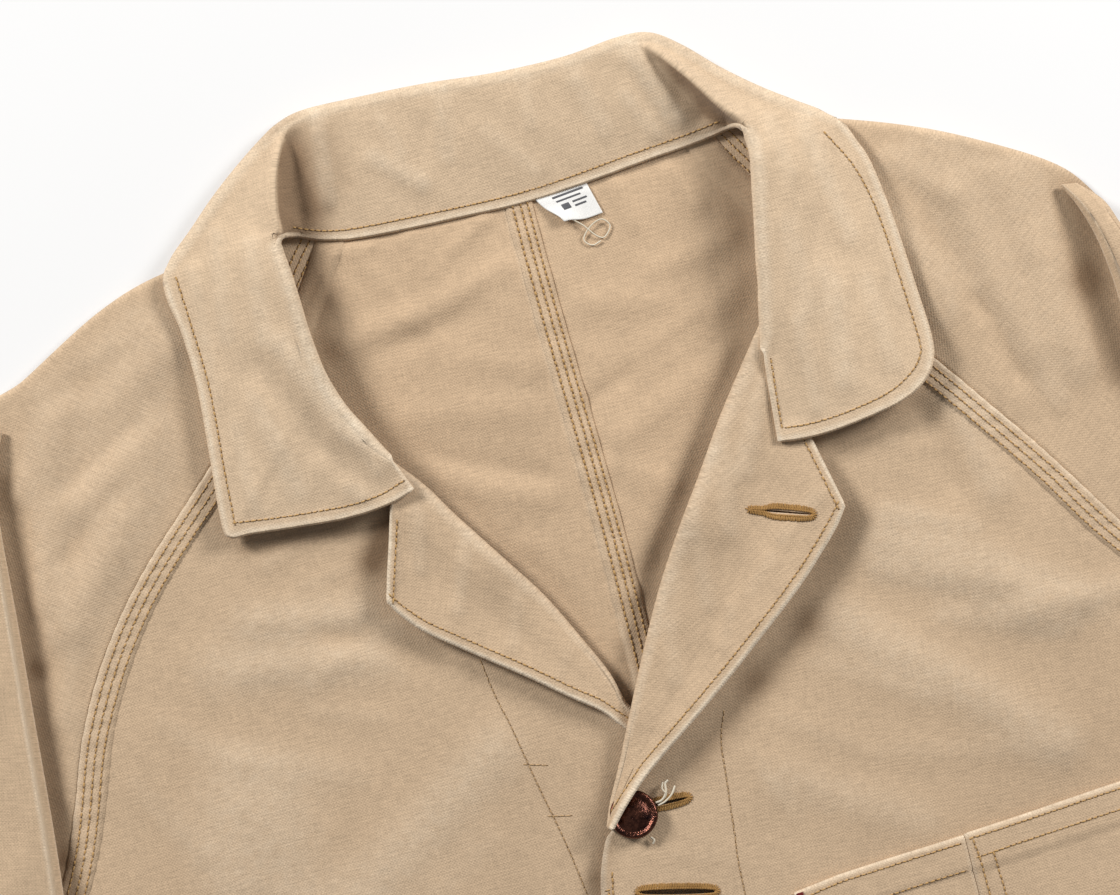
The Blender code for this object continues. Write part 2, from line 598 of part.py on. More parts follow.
# ---- pockets, buttons and label ----
def patch(name, x_range, y_range, side, corner):
    """A pocket that lies on a front, with a hem along its mouth and cut lower corners."""
    x0, x1 = x_range
    top, bottom = y_range
    sign = SIDES[side]
    hem = top - MOUTH_HEM
    ys = [top, hem, hem - 1, hem - 31, hem - 61, bottom + corner * 2, bottom + corner, bottom]
    sheet, thick = [], []
    for y in ys:
        cut = max(0.0, corner - (y - bottom)) * 0.8
        row = []
        for f in POCKET_SHARES:
            x = x0 + sign * cut + (x1 - x0 - 2 * sign * cut) * f
            row.append((x, y, front_top(side, x, y) + PATCH_GAP))
        sheet.append(row)
        thick.append([PATCH + (BAND_RISE if y >= hem else 0.0)] * len(row))
    return wall(name, sheet, thick, "twill", mirrored=x1 < x0)


def button(number, x, y):
    """A domed metal button with a raised ring round its edge, turned about its own axis."""
    base = front_top("right", x, y) + LAY_GAP
    points = [(x, y, base + BUTTON_PROFILE[0][1])]
    for radius, height in BUTTON_PROFILE[1:-1]:
        for k in range(BUTTON_SIDES):
            a = 2 * math.pi * k / BUTTON_SIDES
            points.append((x + radius * math.cos(a), y + radius * math.sin(a), base + height))
    points.append((x, y, base + BUTTON_PROFILE[-1][1]))
    top = len(points) - 1
    rings = len(BUTTON_PROFILE) - 2
    faces = [(0, 1 + (k + 1) % BUTTON_SIDES, 1 + k) for k in range(BUTTON_SIDES)]
    for r in range(rings - 1):
        for k in range(BUTTON_SIDES):
            a, b = 1 + r * BUTTON_SIDES + k, 1 + r * BUTTON_SIDES + (k + 1) % BUTTON_SIDES
            faces.append((a, b, b + BUTTON_SIDES, a + BUTTON_SIDES))
    low = 1 + (rings - 1) * BUTTON_SIDES
    faces += [(low + k, low + (k + 1) % BUTTON_SIDES, top) for k in range(BUTTON_SIDES)]
    return place(f"button_{number}", points, turned_out(points, faces), "copper_button")


def size_label():
    """The woven label at the neck seam, with its lower left corner curled up."""
    corners = [np.array(corner, float) for corner in LABEL_CORNERS]
    sheet = []
    for j in range(5):
        row = []
        for i in range(7):
            u, v = i / 6, j / 4
            upper = corners[0] * (1 - u) + corners[1] * u
            lower = corners[3] * (1 - u) + corners[2] * u
            x, y = upper * (1 - v) + lower * v
            curl = 2.0 * smooth(v * 1.2 - 0.2) * smooth((0.6 - u) / 0.6)
            row.append((x, y, CLOTH + LABEL_GAP + curl))
        sheet.append(row)
    return wall("size_label", sheet, LABEL_THICK, "white_label")


def main():
    for thing in list(bpy.data.objects):
        bpy.data.objects.remove(thing, do_unlink=True)
    for side in SIDES:
        back(side)
        front(side)
        cap(side)
        arm(side)
        lapel(side)
    collar()
    patch("pen_pocket", PEN_POCKET["x"], PEN_POCKET["y"], "right", 12)
    patch("chest_pocket", CHEST_POCKET["x"], CHEST_POCKET["y"], "right", 12)
    patch("hip_pocket_right", HIP_POCKET["x"], HIP_POCKET["y"], "right", 16)
    patch("hip_pocket_left", [-x for x in HIP_POCKET["x"]], HIP_POCKET["y"], "left", 16)
    for number, (x, y) in enumerate(BUTTON_PLACES, 1):
        button(number, x, y)
    size_label()


main()
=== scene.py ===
# %% [markdown]
# # A chore jacket laid flat
# This lesson builds the cloth of a raglan-sleeved jacket around simple closed solids that are
# already fixed in space. Every panel is a thin shell on a grid of points, so that its edges,
# folds and seams are worked out from a few short tables. Sizes in the tables are millimetres.
# X runs across the jacket, Y runs up it from 0 at the middle of the back neck seam, and Z is the
# height above the table. Left and right are as seen from above.

# %% Start from the fixed solids
import bpy
import bmesh
import json
import math
import numpy as np
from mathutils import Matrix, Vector
from mathutils.bvhtree import BVHTree

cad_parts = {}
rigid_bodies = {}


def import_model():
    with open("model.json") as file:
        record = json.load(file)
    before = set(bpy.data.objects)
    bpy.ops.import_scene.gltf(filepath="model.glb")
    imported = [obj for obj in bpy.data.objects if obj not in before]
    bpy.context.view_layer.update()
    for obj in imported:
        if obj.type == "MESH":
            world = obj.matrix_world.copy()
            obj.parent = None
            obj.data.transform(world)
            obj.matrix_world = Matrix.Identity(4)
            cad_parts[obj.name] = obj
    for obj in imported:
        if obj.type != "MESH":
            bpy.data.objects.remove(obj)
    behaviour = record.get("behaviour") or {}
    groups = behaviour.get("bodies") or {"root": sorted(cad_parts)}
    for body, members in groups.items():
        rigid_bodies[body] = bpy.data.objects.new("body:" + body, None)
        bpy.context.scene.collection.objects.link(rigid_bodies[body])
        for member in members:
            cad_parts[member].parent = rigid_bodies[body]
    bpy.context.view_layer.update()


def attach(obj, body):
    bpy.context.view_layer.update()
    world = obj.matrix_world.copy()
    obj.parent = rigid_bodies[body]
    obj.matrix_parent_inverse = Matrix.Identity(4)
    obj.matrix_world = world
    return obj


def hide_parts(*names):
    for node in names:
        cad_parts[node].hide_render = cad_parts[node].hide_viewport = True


for thing in list(bpy.data.objects):
    bpy.data.objects.remove(thing, do_unlink=True)
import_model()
MM = 0.001
MIDDLE_Y = -336.0      # y, in the tables, of the middle of the frame
SIDES = {"left": -1, "right": 1}


# %% [markdown]
# ## Heights of the layers
# Cloth lies in layers, and each one rests on the one below. A height function says how high the
# fronts lie at any place, broad folds and all. Pockets, lapels and arms ask the same function
# where their floor is, so that they follow every fold without sinking into it.

# %% Layer heights
CLOTH = 1.4            # one layer of cloth with its nap
TWO_PLY = 2.0          # collar
PATCH = 1.2            # pockets
LAY_GAP = 0.4          # under an arm, and inside the roll of a lapel
PATCH_GAP = 0.6        # under a pocket or a lapel
SEAM_GAP = 0.35        # between two pieces along a seam
BAND_WIDTH = 11.0      # felled seam
BAND_RISE = 0.6        # how far a felled seam or a hem stands proud
FRONT_UNDER = 3.0      # height of the fronts' under side
OVERLAP_RISE = 4.6     # how far the upper front climbs to lie on the lower one
SIDE_TURN = 1.9        # inner radius where a front turns down at the side
HEM_Y = -725.0
HEM_DEPTH = 28.0
NECK_REACH = 5.0       # how far back and shoulders reach up under the collar
ARM_FALL = 26.0        # width over which an arm comes down from the body to the table
ARM_CLEAR = 1.5        # how far the body's edge reaches beneath an arm

# start x, y, end x, y, half width, height of each broad fold of the fronts
FRONT_FOLDS = [
    (140, -72, 152, -112, 9, 1.4),
    (98, -150, 150, -186, 12, 1.8),
    (70, -172, 140, -236, 10, 1.5),
    (40, -225, 84, -252, 9, 1.0),
    (139, -187, 180, -188, 6, 1.1),
    (121, -108, 125, -136, 6, -1.1),
    (132, -106, 140, -140, 8, 1.2),
    (-96, -128, -136, -122, 9, 1.0),
    (-88, -146, -150, -136, 12, 1.2),
    (-108, -134, -72, -152, 6, -0.9),
    (-60, -190, -120, -230, 12, 1.5),
    (-90, -300, -130, -420, 34, 2.0),
    (-150, -190, -170, -300, 22, 2.0),
    (70, -66, 30, -122, 16, 4.0),
    (30, -122, -5, -185, 12, 1.6),
    (-70, -84, -42, -122, 14, 3.0),
    (-42, -122, -18, -174, 10, 1.0),
    (62, -330, 150, -372, 10, 1.3),
    (170, -300, 250, -350, 10, 1.4),
    (48, -400, 92, -470, 11, 1.1),
    (235, -380, 262, -520, 12, 1.4),
    (120, -520, 230, -560, 12, 1.2),
    (60, -600, 170, -650, 12, 1.1),
    (200, -600, 262, -690, 11, 1.2),
    (-60, -420, -110, -470, 10, 1.2),
    (-240, -360, -262, -500, 12, 1.4),
    (-200, -330, -120, -352, 10, 1.3),
    (-230, -560, -140, -600, 12, 1.2),
    (-60, -560, -100, -650, 11, 1.1),
    (-255, -600, -210, -700, 11, 1.2),
]


def smooth(value):
    """0 below 0, 1 above 1, and a soft climb between."""
    value = np.clip(value, 0.0, 1.0)
    return value * value * (3 - 2 * value)


def away_from_stretch(x, y, x0, y0, x1, y1):
    """Distance of the places x, y from one straight stretch."""
    run_x, run_y = x1 - x0, y1 - y0
    share = ((x - x0) * run_x + (y - y0) * run_y) / (run_x ** 2 + run_y ** 2)
    share = np.clip(share, 0.0, 1.0)
    return np.hypot(x - x0 - run_x * share, y - y0 - run_y * share)


def folds(rows, x, y):
    """Sum of the soft ridges (height above 0) and troughs (below 0) in a table of folds."""
    height = np.zeros_like(np.asarray(x, float))
    for x0, y0, x1, y1, half, rise in rows:
        height += rise * np.exp(-(away_from_stretch(x, y, x0, y0, x1, y1) / half) ** 2)
    return height


def undulation(x, y):
    """Slow unevenness that all the layers of the fronts share."""
    waves = [(0.043, 0.021, 0.4), (-0.028, 0.051, 1.9), (0.071, -0.038, 3.1), (0.017, 0.083, 5.2)]
    return sum(0.16 * np.sin(a * x + b * y + c) for a, b, c in waves) + 0.3


print(len(FRONT_FOLDS), "broad folds in the fronts")


# %% [markdown]
# ## Curves and grids
# A Catmull-Rom curve passes through every row of a table, which makes it easy to trace an edge:
# type the places it goes through and nothing else. A panel is then ruled between two such edges.

# %% Curve helpers
def along(rows, t):
    """Places on a smooth curve through the rows, for each t from 0 to 1."""
    rows = np.asarray(rows, float)
    last = len(rows) - 1
    place = np.clip(np.atleast_1d(t), 0.0, 1.0) * last
    i = np.minimum(place.astype(int), last - 1)
    f = (place - i)[:, None]
    padded = np.concatenate([[2 * rows[0] - rows[1]], rows, [2 * rows[-1] - rows[-2]]])
    p0, p1, p2, p3 = (padded[i + k] for k in range(4))
    g = f * f * (3 - 2 * f)
    lean = (p2 - p0) / 2 * f * (1 - f) ** 2 - (p3 - p1) / 2 * f * f * (1 - f)
    return p1 * (1 - g) + p2 * g + lean


def even(rows, count):
    """Count places along a smooth curve through the rows, the same distance apart."""
    fine = along(rows, np.linspace(0, 1, 60 * (len(rows) - 1) + 1))
    reach = np.concatenate([[0], np.cumsum(np.linalg.norm(np.diff(fine, axis=0), axis=1))])
    places = np.linspace(0, reach[-1], count)
    return np.stack([np.interp(places, reach, fine[:, k]) for k in range(fine.shape[1])], axis=1)


def unit(vectors):
    """The vectors, each of length 1."""
    return vectors / np.maximum(np.linalg.norm(vectors, axis=-1, keepdims=True), 1e-9)


def lifted(flat, z):
    """A grid of places x, y with their heights added."""
    return np.concatenate([flat, z[..., None]], axis=2)


def facing(sheet):
    """Unit normals of a grid of points whose rows run down the jacket."""
    return unit(np.cross(np.gradient(sheet, axis=0), np.gradient(sheet, axis=1)))


# %% [markdown]
# ## Materials
# Cloth up close is threads, slubs and fading. Shader nodes can be wired with ordinary sums if a
# small class wraps a socket: each sum or product adds one Math node. The cloth's own UV map is
# in metres, so a thread keeps its width on every piece however the grid is stretched.

# %% A socket that can be added and multiplied
class Wire:
    """One output socket of a node tree, with sums that add Math nodes."""

    def __init__(self, tree, socket=None):
        self.tree = tree
        self.socket = socket

    def node(self, kind, out, links, **settings):
        """Adds a node of this kind, feeds its named inputs and returns the named output."""
        made = self.tree.nodes.new(kind)
        for name, value in settings.items():
            setattr(made, name, value)
        for name, value in links.items():
            if isinstance(value, Wire):
                self.tree.links.new(value.socket, made.inputs[name])
            else:
                made.inputs[name].default_value = value
        return Wire(self.tree, made.outputs[out])

    def math(self, operation, first, second=0.0):
        return self.node("ShaderNodeMath", 0, {0: first, 1: second}, operation=operation)

    def __add__(self, other):
        return self.math("ADD", self, other)

    def __radd__(self, other):
        return self.math("ADD", other, self)

    def __sub__(self, other):
        return self.math("SUBTRACT", self, other)

    def __mul__(self, other):
        return self.math("MULTIPLY", self, other)

    def sine(self):
        return self.math("SINE", self)

    def between(self, low, high):
        """0 at low, 1 at high and clamped outside."""
        return self.node("ShaderNodeMapRange", 0, {0: self, 1: low, 2: high, 3: 0.0, 4: 1.0}, clamp=True)

    def noise(self, scale, detail=2.0, stretch=(1.0, 1.0, 1.0)):
        """Noise over these coordinates, -0.5 to 0.5."""
        place = self.node("ShaderNodeVectorMath", 0, {0: self, 1: stretch}, operation="MULTIPLY")
        links = {"Vector": place, "Scale": scale, "Detail": detail, "Roughness": 0.6}
        return self.node("ShaderNodeTexNoise", 0, links) - 0.5

    def mix(self, colour_a, colour_b):
        """Colour between two, by this factor."""
        return self.node("ShaderNodeMix", 2, {0: self, 6: colour_a, 7: colour_b}, data_type="RGBA")

    def scaled(self, factor):
        """This colour or vector times a number or a number socket."""
        return self.node("ShaderNodeVectorMath", 0, {0: self, "Scale": factor}, operation="SCALE")


def new_look(name):
    """An empty material and a first wire to build its tree on."""
    look = bpy.data.materials.new(name)
    look.use_nodes = True
    return look, Wire(look.node_tree)


def finish_look(look, colour, roughness, bump, plain):
    """Feeds a look's shader: bump is height, strength and distance, plain holds fixed values."""
    tree = look.node_tree
    inputs = tree.nodes["Principled BSDF"].inputs
    feeds = {"Base Color": colour, "Roughness": roughness.between(0.0, 1.0)}
    if bump:
        names = ("Height", "Strength", "Distance")
        feeds["Normal"] = colour.node("ShaderNodeBump", 0, dict(zip(names, bump)))
    for name, wire in feeds.items():
        tree.links.new(wire.socket, inputs[name])
    for name, value in plain.items():
        inputs[name].default_value = value
    return look


# %% [markdown]
# ## The finishes
# Garment cotton is never one flat colour: its threads are thick and thin, the dye is mottled, and
# edges and ridges are rubbed pale. Hollows, creases and cloth under raised edges get painted shade,
# a darker colour where shadow falls. One tree with noises stretched along the threads gives all of
# that, and two attributes of the mesh say where the cloth is rubbed and where shade is painted.
# Thread, copper, label and ground are plainer trees.

# %% Cloth, thread, metal and paper-white looks
THREAD_PITCH = 0.62                # one thread of the weave
PAINTED_SHADE_SHARE = (0.36, 0.30, 0.25)     # share of each colour left where shade is painted into a hollow or under an edge


def cloth_look(name, base, pale):
    """Plain weave with slubs and mottled fading.

    It is pale where the wear attribute is high, and darkened by painted shade where the painted shade attribute
    is high.
    """
    look, start = new_look(name)
    place = start.node("ShaderNodeUVMap", 0, {}, uv_map="weave").scaled(1 / MM)
    across = start.node("ShaderNodeSeparateXYZ", 0, {0: place})
    down = Wire(look.node_tree, across.socket.node.outputs[1])
    wobble = place.noise(0.12, 2.0) * 0.5
    turn = math.pi / THREAD_PITCH
    weave = ((across + wobble) * turn).sine() * ((down + wobble) * turn).sine()
    slub_weft = place.noise(1.0, 1.5, (0.16, 1.7, 1.0))
    slub_warp = place.noise(1.0, 1.5, (1.7, 0.13, 1.0))
    grit = place.noise(1.9)
    mottle = place.noise(0.035, 4.0)
    cloud = place.noise(0.012)
    wear = start.node("ShaderNodeAttribute", "Fac", {}, attribute_name="wear")
    deep = start.node("ShaderNodeAttribute", "Fac", {}, attribute_name="deep")
    rub = (wear * (1.0 + place.noise(0.25, 3.0) * 1.8 + grit * 0.8)).between(0.05, 0.95)
    slub = slub_weft + slub_warp
    tone = slub_weft * 0.52 + slub_warp * 0.34 + weave * 0.05 + grit * 0.56
    tone = tone + mottle * 0.2 + cloud * 0.1 + 1.0
    # painted shade: the colour that hollows and shadowed places are darkened towards
    painted_shade_colour = (*(colour * share for colour, share in zip(base, PAINTED_SHADE_SHARE)), 1.0)
    colour = (deep * 0.85).mix((rub * 0.8).mix((*base, 1.0), (*pale, 1.0)), painted_shade_colour).scaled(tone)
    height = weave * 0.35 + slub * 0.9 + grit * 0.6
    return finish_look(look, colour, slub * 0.1 + 0.88, (height, 0.5, 0.0002),
                       {"Sheen Weight": 0.12, "Sheen Roughness": 0.45, "Specular IOR Level": 0.18})


def thread_look(name, base, dark):
    """Twisted sewing thread: a fine grain and a little uneven dye."""
    look, start = new_look(name)
    place = start.node("ShaderNodeTexCoord", "Object", {})
    fine, slow = place.noise(2600.0), place.noise(90.0)
    colour = (slow * 1.2 + fine * 0.7 + 0.5).between(0.0, 1.0).mix((*dark, 1.0), (*base, 1.0))
    return finish_look(look, colour, fine * 0.2 + 0.72, (fine, 0.4, 0.0001), {"Specular IOR Level": 0.25})


def copper_look(name, dark, bright):
    """Aged copper: dark in places, brighter red-brown where it is rubbed."""
    look, start = new_look(name)
    place = start.node("ShaderNodeTexCoord", "Object", {})
    patina = (place.noise(420.0, 4.0) * 2.4 + 0.5).between(0.0, 1.0)
    spots = (place.noise(1500.0, 3.0) * 2.0 + 0.5).between(0.0, 1.0)
    colour = patina.mix((*dark, 1.0), (*bright, 1.0)).scaled(spots * 0.5 + 0.6)
    return finish_look(look, colour, spots * 0.2 + 0.16, (spots + patina, 0.5, 0.00018),
                       {"Metallic": 1.0})


def label_look(name, base):
    """Smooth woven tape with a fine rib."""
    look, start = new_look(name)
    place = start.node("ShaderNodeTexCoord", "Object", {})
    rib = (place.node("ShaderNodeSeparateXYZ", 0, {0: place}) * (2 * math.pi / 0.0006)).sine()
    slow = place.noise(160.0, 3.0)
    colour = (slow + 0.5).between(0.0, 1.0).mix((*(c * 0.88 for c in base), 1.0), (*base, 1.0))
    return finish_look(look, colour, slow * 0.1 + 0.75, (rib * 0.5 + slow, 0.3, 0.00015), {})


def ground_look(name, dark, pale):
    """Plain pale paper, lit a little from beneath as on a light table."""
    look, start = new_look(name)
    slow = start.node("ShaderNodeTexCoord", "Object", {}).noise(6.0)
    colour = (slow + 0.5).between(0.0, 1.0).mix((*dark, 1.0), (*pale, 1.0))
    return finish_look(look, colour, slow * 0.05 + 0.9, None,
                       {"Specular IOR Level": 0.1, "Emission Color": (1.0, 1.0, 1.0, 1.0),
                        "Emission Strength": 0.355})

LOOKS = {
    "twill": cloth_look("khaki cotton", (0.535, 0.392, 0.260), (0.74, 0.63, 0.49)),
    "twill_shade": cloth_look("khaki cotton inside", (0.54, 0.390, 0.255), (0.72, 0.59, 0.44)),
    "worn_twill": cloth_look("khaki cotton worn", (0.585, 0.440, 0.300), (0.78, 0.68, 0.54)),
    "ochre": thread_look("ochre thread", (0.53, 0.34, 0.145), (0.42, 0.25, 0.09)),
    "faded_ochre": thread_look("faded ochre thread", (0.47, 0.32, 0.17), (0.38, 0.24, 0.11)),
    # painted shade: the dark dots at the needle holes stand in for the shadow inside each hole
    "needle_hole_shade": thread_look("needle holes", (0.19, 0.10, 0.038), (0.11, 0.055, 0.02)),
    "hole_twist": thread_look("buttonhole twist", (0.50, 0.29, 0.10), (0.25, 0.13, 0.04)),
    "pale_thread": thread_look("pale loose thread", (0.80, 0.74, 0.62), (0.55, 0.48, 0.36)),
    "red_thread": thread_look("dark red thread", (0.20, 0.02, 0.018), (0.09, 0.01, 0.01)),
    "copper_button": copper_look("aged copper", (0.030, 0.015, 0.016), (0.27, 0.105, 0.068)),
    "white_label": label_look("white woven label", (0.84, 0.83, 0.81)),
    "grey_ink": label_look("grey woven bars", (0.10, 0.10, 0.11)),
    "ground": ground_look("pale ground", (0.50, 0.50, 0.505), (0.52, 0.52, 0.522)),
}
print(len(LOOKS), "looks")


# %% [markdown]
# ## Cloth shells
# A shell is one sheet of points thickened along its normals and closed round its rim. The rim
# gets an extra row of points that stands out a little, so an edge of cloth looks rolled and not
# cut from board. A sleeve is the same thing bent into a ring. Every corner also carries its
# place in the weave, and how worn the cloth is there.

# %% Shell builder
RIM_OUT = 0.35         # how far the middle of a rim stands out, as a share of the thickness
RIM_RUB = 1.15         # how much more a rim is rubbed than the cloth beside it


def measure(sheet):
    """Distances along the rows and down the columns of a grid of points."""
    over = np.linalg.norm(np.diff(sheet, axis=1), axis=2)
    down = np.linalg.norm(np.diff(sheet, axis=0), axis=2)
    u = np.concatenate([np.zeros((len(sheet), 1)), np.cumsum(over, axis=1)], axis=1)
    v = np.concatenate([np.zeros((1, sheet.shape[1])), np.cumsum(down, axis=0)], axis=0)
    return u, v


def rim_wear(sheet, edges, width):
    """1 along the named edges of a sheet (top, bottom, first, last), fading over the width."""
    u, v = measure(sheet)
    away = {"first": u, "last": u[:, -1:] - u, "top": v, "bottom": v[-1:] - v}
    worn = np.zeros(sheet.shape[:2])
    for edge in edges:
        worn = np.maximum(worn, np.exp(-(away[edge] / width) ** 2))
    return worn


def belt(first, rings, sides):
    """Faces between rings of that many corners each, of which the first starts at index first."""
    faces = []
    for start in range(first, first + (rings - 1) * sides, sides):
        for k in range(sides):
            p, q = start + k, start + (k + 1) % sides
            faces.append((p, q, q + sides, p + sides))
    return faces


def build_mesh(name, points, faces, look, weave=None, **marks):
    """Mesh object from points in millimetres, faces turned outwards, with its weave and marks."""
    points = np.asarray(points, float)
    world = (points - (0.0, MIDDLE_Y, 0.0)) * MM
    mesh = bpy.data.meshes.new(name)
    mesh.from_pydata(world.tolist(), [], faces)
    mesh.update()
    shape = bmesh.new()
    shape.from_mesh(mesh)
    if shape.calc_volume(signed=True) < 0:
        bmesh.ops.reverse_faces(shape, faces=shape.faces)
    shape.to_mesh(mesh)
    shape.free()
    if weave is not None:
        corners = np.empty(len(mesh.loops), dtype=np.int32)
        mesh.loops.foreach_get("vertex_index", corners)
        layer = mesh.uv_layers.new(name="weave")
        layer.data.foreach_set("uv", (np.asarray(weave, float) * MM)[corners].ravel())
    for mark, values in marks.items():
        layer = mesh.attributes.new(mark, "FLOAT", "POINT")
        layer.data.foreach_set("value", np.asarray(values, float).ravel())
    mesh.materials.append(LOOKS[look])
    mesh.shade_smooth()
    thing = bpy.data.objects.new(name, mesh)
    bpy.context.scene.collection.objects.link(thing)
    return thing


def shell(name, sheet, thick, look, below=0.0, ring=False, mirrored=False, wear=0.0, deep=0.0,
          grain=None):
    """Closed shell of cloth on a grid of points in millimetres.

    The rows run down the jacket and the columns towards +X, or towards -X if mirrored. below is
    the share of the thickness under the points. grain is None where the weave runs along the
    grid, or the angle in degrees by which it is turned from X on the flat. wear marks where the
    cloth is rubbed pale, and the painted shade mark where shade is painted into its colour.
    """
    sheet = np.asarray(sheet, float)
    thick = np.broadcast_to(np.asarray(thick, float), sheet.shape[:2])[..., None]
    wear = np.broadcast_to(np.asarray(wear, float), sheet.shape[:2])
    deep = np.broadcast_to(np.asarray(deep, float), sheet.shape[:2])
    if grain is None:
        weave = np.stack(measure(sheet), axis=2)
    else:
        a = math.radians(grain)
        x, y = sheet[..., 0], sheet[..., 1]
        weave = np.stack([x * math.cos(a) + y * math.sin(a), y * math.cos(a) - x * math.sin(a)], axis=2)
    if mirrored:
        sheet, thick, wear, deep, weave = (grid[:, ::-1] for grid in (sheet, thick, wear, deep, weave))
    if ring:
        normal = facing(np.concatenate([sheet[:, -1:], sheet, sheet[:, :1]], axis=1))[:, 1:-1]
    else:
        normal = facing(sheet)
    under = sheet - normal * thick * below
    over = sheet + normal * thick * (1 - below)
    rows, columns = sheet.shape[:2]
    index = np.arange(rows * columns).reshape(rows, columns)
    if ring:
        index = np.concatenate([index, index[:, :1]], axis=1)
    quads = np.stack([index[:-1, :-1], index[:-1, 1:], index[1:, 1:], index[1:, :-1]], axis=-1)
    quads = quads.reshape(-1, 4)
    shift = rows * columns
    faces = np.concatenate([quads, quads[:, ::-1] + shift])
    flat = sheet.reshape(-1, 3)
    if ring:
        loops = [(index[0], index[1]), (index[-1][::-1], index[-2][::-1])]
    else:
        edge = np.concatenate([index[0], index[1:, -1], index[-1, -2::-1], index[-2::-1, 0]])
        inside = index[np.clip(edge // columns, 1, rows - 2), np.clip(edge % columns, 1, columns - 2)]
        loops = [(edge, inside)]
    points = [under.reshape(-1, 3), over.reshape(-1, 3)]
    rims = []
    count = 2 * shift
    for edge, inside in loops:
        edge, inside = edge[:-1], inside[:-1]
        out = unit(flat[edge] - flat[inside])
        low, high = points[0][edge], points[1][edge]
        half = np.linalg.norm(high - low, axis=1, keepdims=True) * RIM_OUT
        points.append((low + high) / 2 + out * half)
        middle = count + np.arange(len(edge))
        count += len(edge)
        after, middle_after = np.roll(edge, -1), np.roll(middle, -1)
        faces = np.concatenate([faces, np.stack([edge, middle, middle_after, after], axis=1),
                                np.stack([middle, edge + shift, after + shift, middle_after], axis=1)])
        rims.append(edge)
    rims = np.concatenate(rims)
    weave, wear, deep = weave.reshape(-1, 2), wear.reshape(-1), deep.reshape(-1)
    weave = np.concatenate([weave, weave, weave[rims]])
    deep = np.clip(np.concatenate([deep, deep, deep[rims]]), 0, 1)
    wear = np.concatenate([wear, wear, np.minimum(1.0, wear[rims] * RIM_RUB)])
    points = np.concatenate(points)
    points[:, 2] = np.maximum(points[:, 2], 0.0)
    thing = build_mesh(f"{name}_cloth", points, faces.tolist(), look, weave, wear=wear, deep=deep)
    area = sum(face.area for face in thing.data.polygons) / 2
    print(f"{name}: {len(thing.data.polygons)} faces, {area:.4f} m2 of cloth")
    SHELLS[name] = thing
    return thing


SHELLS = {}
# painted shade: darker cloth where shadow falls in hollows beside a roll or an edge, under raised
# edges and over two broad patches of the fronts: start x, y, end x, y, half width, strength
PAINTED_SHADE_COLLAR = [
    (-77, 45, -79, 36, 7.5, 0.55), (-79, 36, -79, 20, 9.0, 0.75), (-79, 20, -79, 10, 8.0, 0.6),
    (-64, 44, -62, 24, 5.0, 0.3),
    (60, 42, 66, 32, 4.5, 0.4), (66, 32, 72, 18, 6.0, 0.45), (72, 18, 76, 11, 5.0, 0.4),
]
PAINTED_SHADE_BACK = [
    (-84, 6, -80, -16, 6.0, 0.6), (76, 4, 72, -24, 8.0, 0.3), (72, -24, 60, -56, 7.0, 0.15),
]
PAINTED_SHADE_FRONT = [
    (86, -140, 62, -172, 7.0, 0.45), (62, -172, 38, -188, 7.0, 0.45), (38, -188, 10, -212, 6.0, 0.4),
    (90, -111, 120, -104, 5.0, 0.3), (-70, -92, -86, -112, 6.0, 1.1), (-92, -98, -130, -96, 3.0, 0.5),
    (196, -46, 191, -76, 7.5, 0.6), (191, -76, 195, -112, 7.0, 0.6), (-209, -52, -214, -120, 4.0, 0.6),
    (-214, -120, -221, -190, 4.0, 0.6), (-221, -190, -230, -300, 4.0, 0.6), (-20, -212, -36, -245, 3.5, 0.4),
    (-36, -245, -39, -320, 3.5, 0.4), (-76, -130, -22, -182, 3.0, 0.3), (-180, -270, -70, -330, 60.0, 0.16),
    (120, -270, 240, -200, 50.0, 0.14),
]


# %% [markdown]
# ## The back, seen through the neck
# The back lies flat on the table. Inside the neck opening it has room to stand up a little, so
# its creases are added only there and fade out where the fronts cover it.

# %% Back panels
# raglan seam of the back: x, y
RAGLAN_BACK = {
    "right": [(71, 6), (84, -14), (120, -62), (170, -128), (225, -205), (276, -284)],
    "left": [(-76, 5), (-88, -10), (-124, -60), (-172, -128), (-226, -205), (-276, -284)],
}
SIDE_SEAM = [(280, -291), (279, -400), (277, -560), (275, -725)]
SIDE_YS = [-303, -340, -400, -480, -560, -640, -725]
# y, left limit, right limit of the neck opening
NECK_OPENING = [
    (12, -84, 78), (-30, -88, 77), (-60, -78, 71), (-100, -52, 44), (-140, -27, 15), (-185, -10, -6),
]
# creases of the back inside the neck: start x, y, end x, y, half width, height
BACK_FOLDS = [
    (-24, -38, 0, -122, 30.0, 2.4),
    (-80, -33, -52, -29, 5.0, 1.3), (-50, -30, -15, -20, 4.5, 1.2), (-60, -38, -30, -34, 5.0, -0.8),
    (-66, -86, -20, -104, 6.0, 1.1), (-64, -77, -18, -98, 4.5, -0.9), (-60, -64, -18, -72, 6.0, 0.8),
    (72, -47, 26, -66, 6.5, 1.3), (51, -57, 6, -74, 4.0, -0.9), (60, -70, 14, -90, 6.0, 1.1),
    (74, -28, 40, -34, 5.0, 1.0), (-75, 4, -60, 0, 3.0, 0.9), (-40, -118, -26, -160, 5.0, 0.9),
    (-33, -115, -20, -164, 3.5, -0.8), (-17, -1, -30, -9, 3.0, 0.9), (-45, 0, -42, -14, 3.5, 0.7),
    (33, 2, 36, -16, 3.5, 0.8), (52, 4, 60, -14, 3.5, 0.9), (-66, 1, -58, -16, 3.5, 0.7),
    (-34, -50, -10, -58, 5.0, 0.7), (14, -40, 40, -46, 5.5, 0.8), (10, -100, 26, -112, 5.0, 0.7),
    (-48, -112, -30, -122, 5.0, 0.6), (-12, -20, -14, -60, 4.0, 0.5), (12, -60, 15, -110, 4.5, 0.5),
]


def centre_back(y):
    """X of the centre back seam, which drifts a little down the back."""
    return 1.7 + 3.3 * smooth(-y / 140)


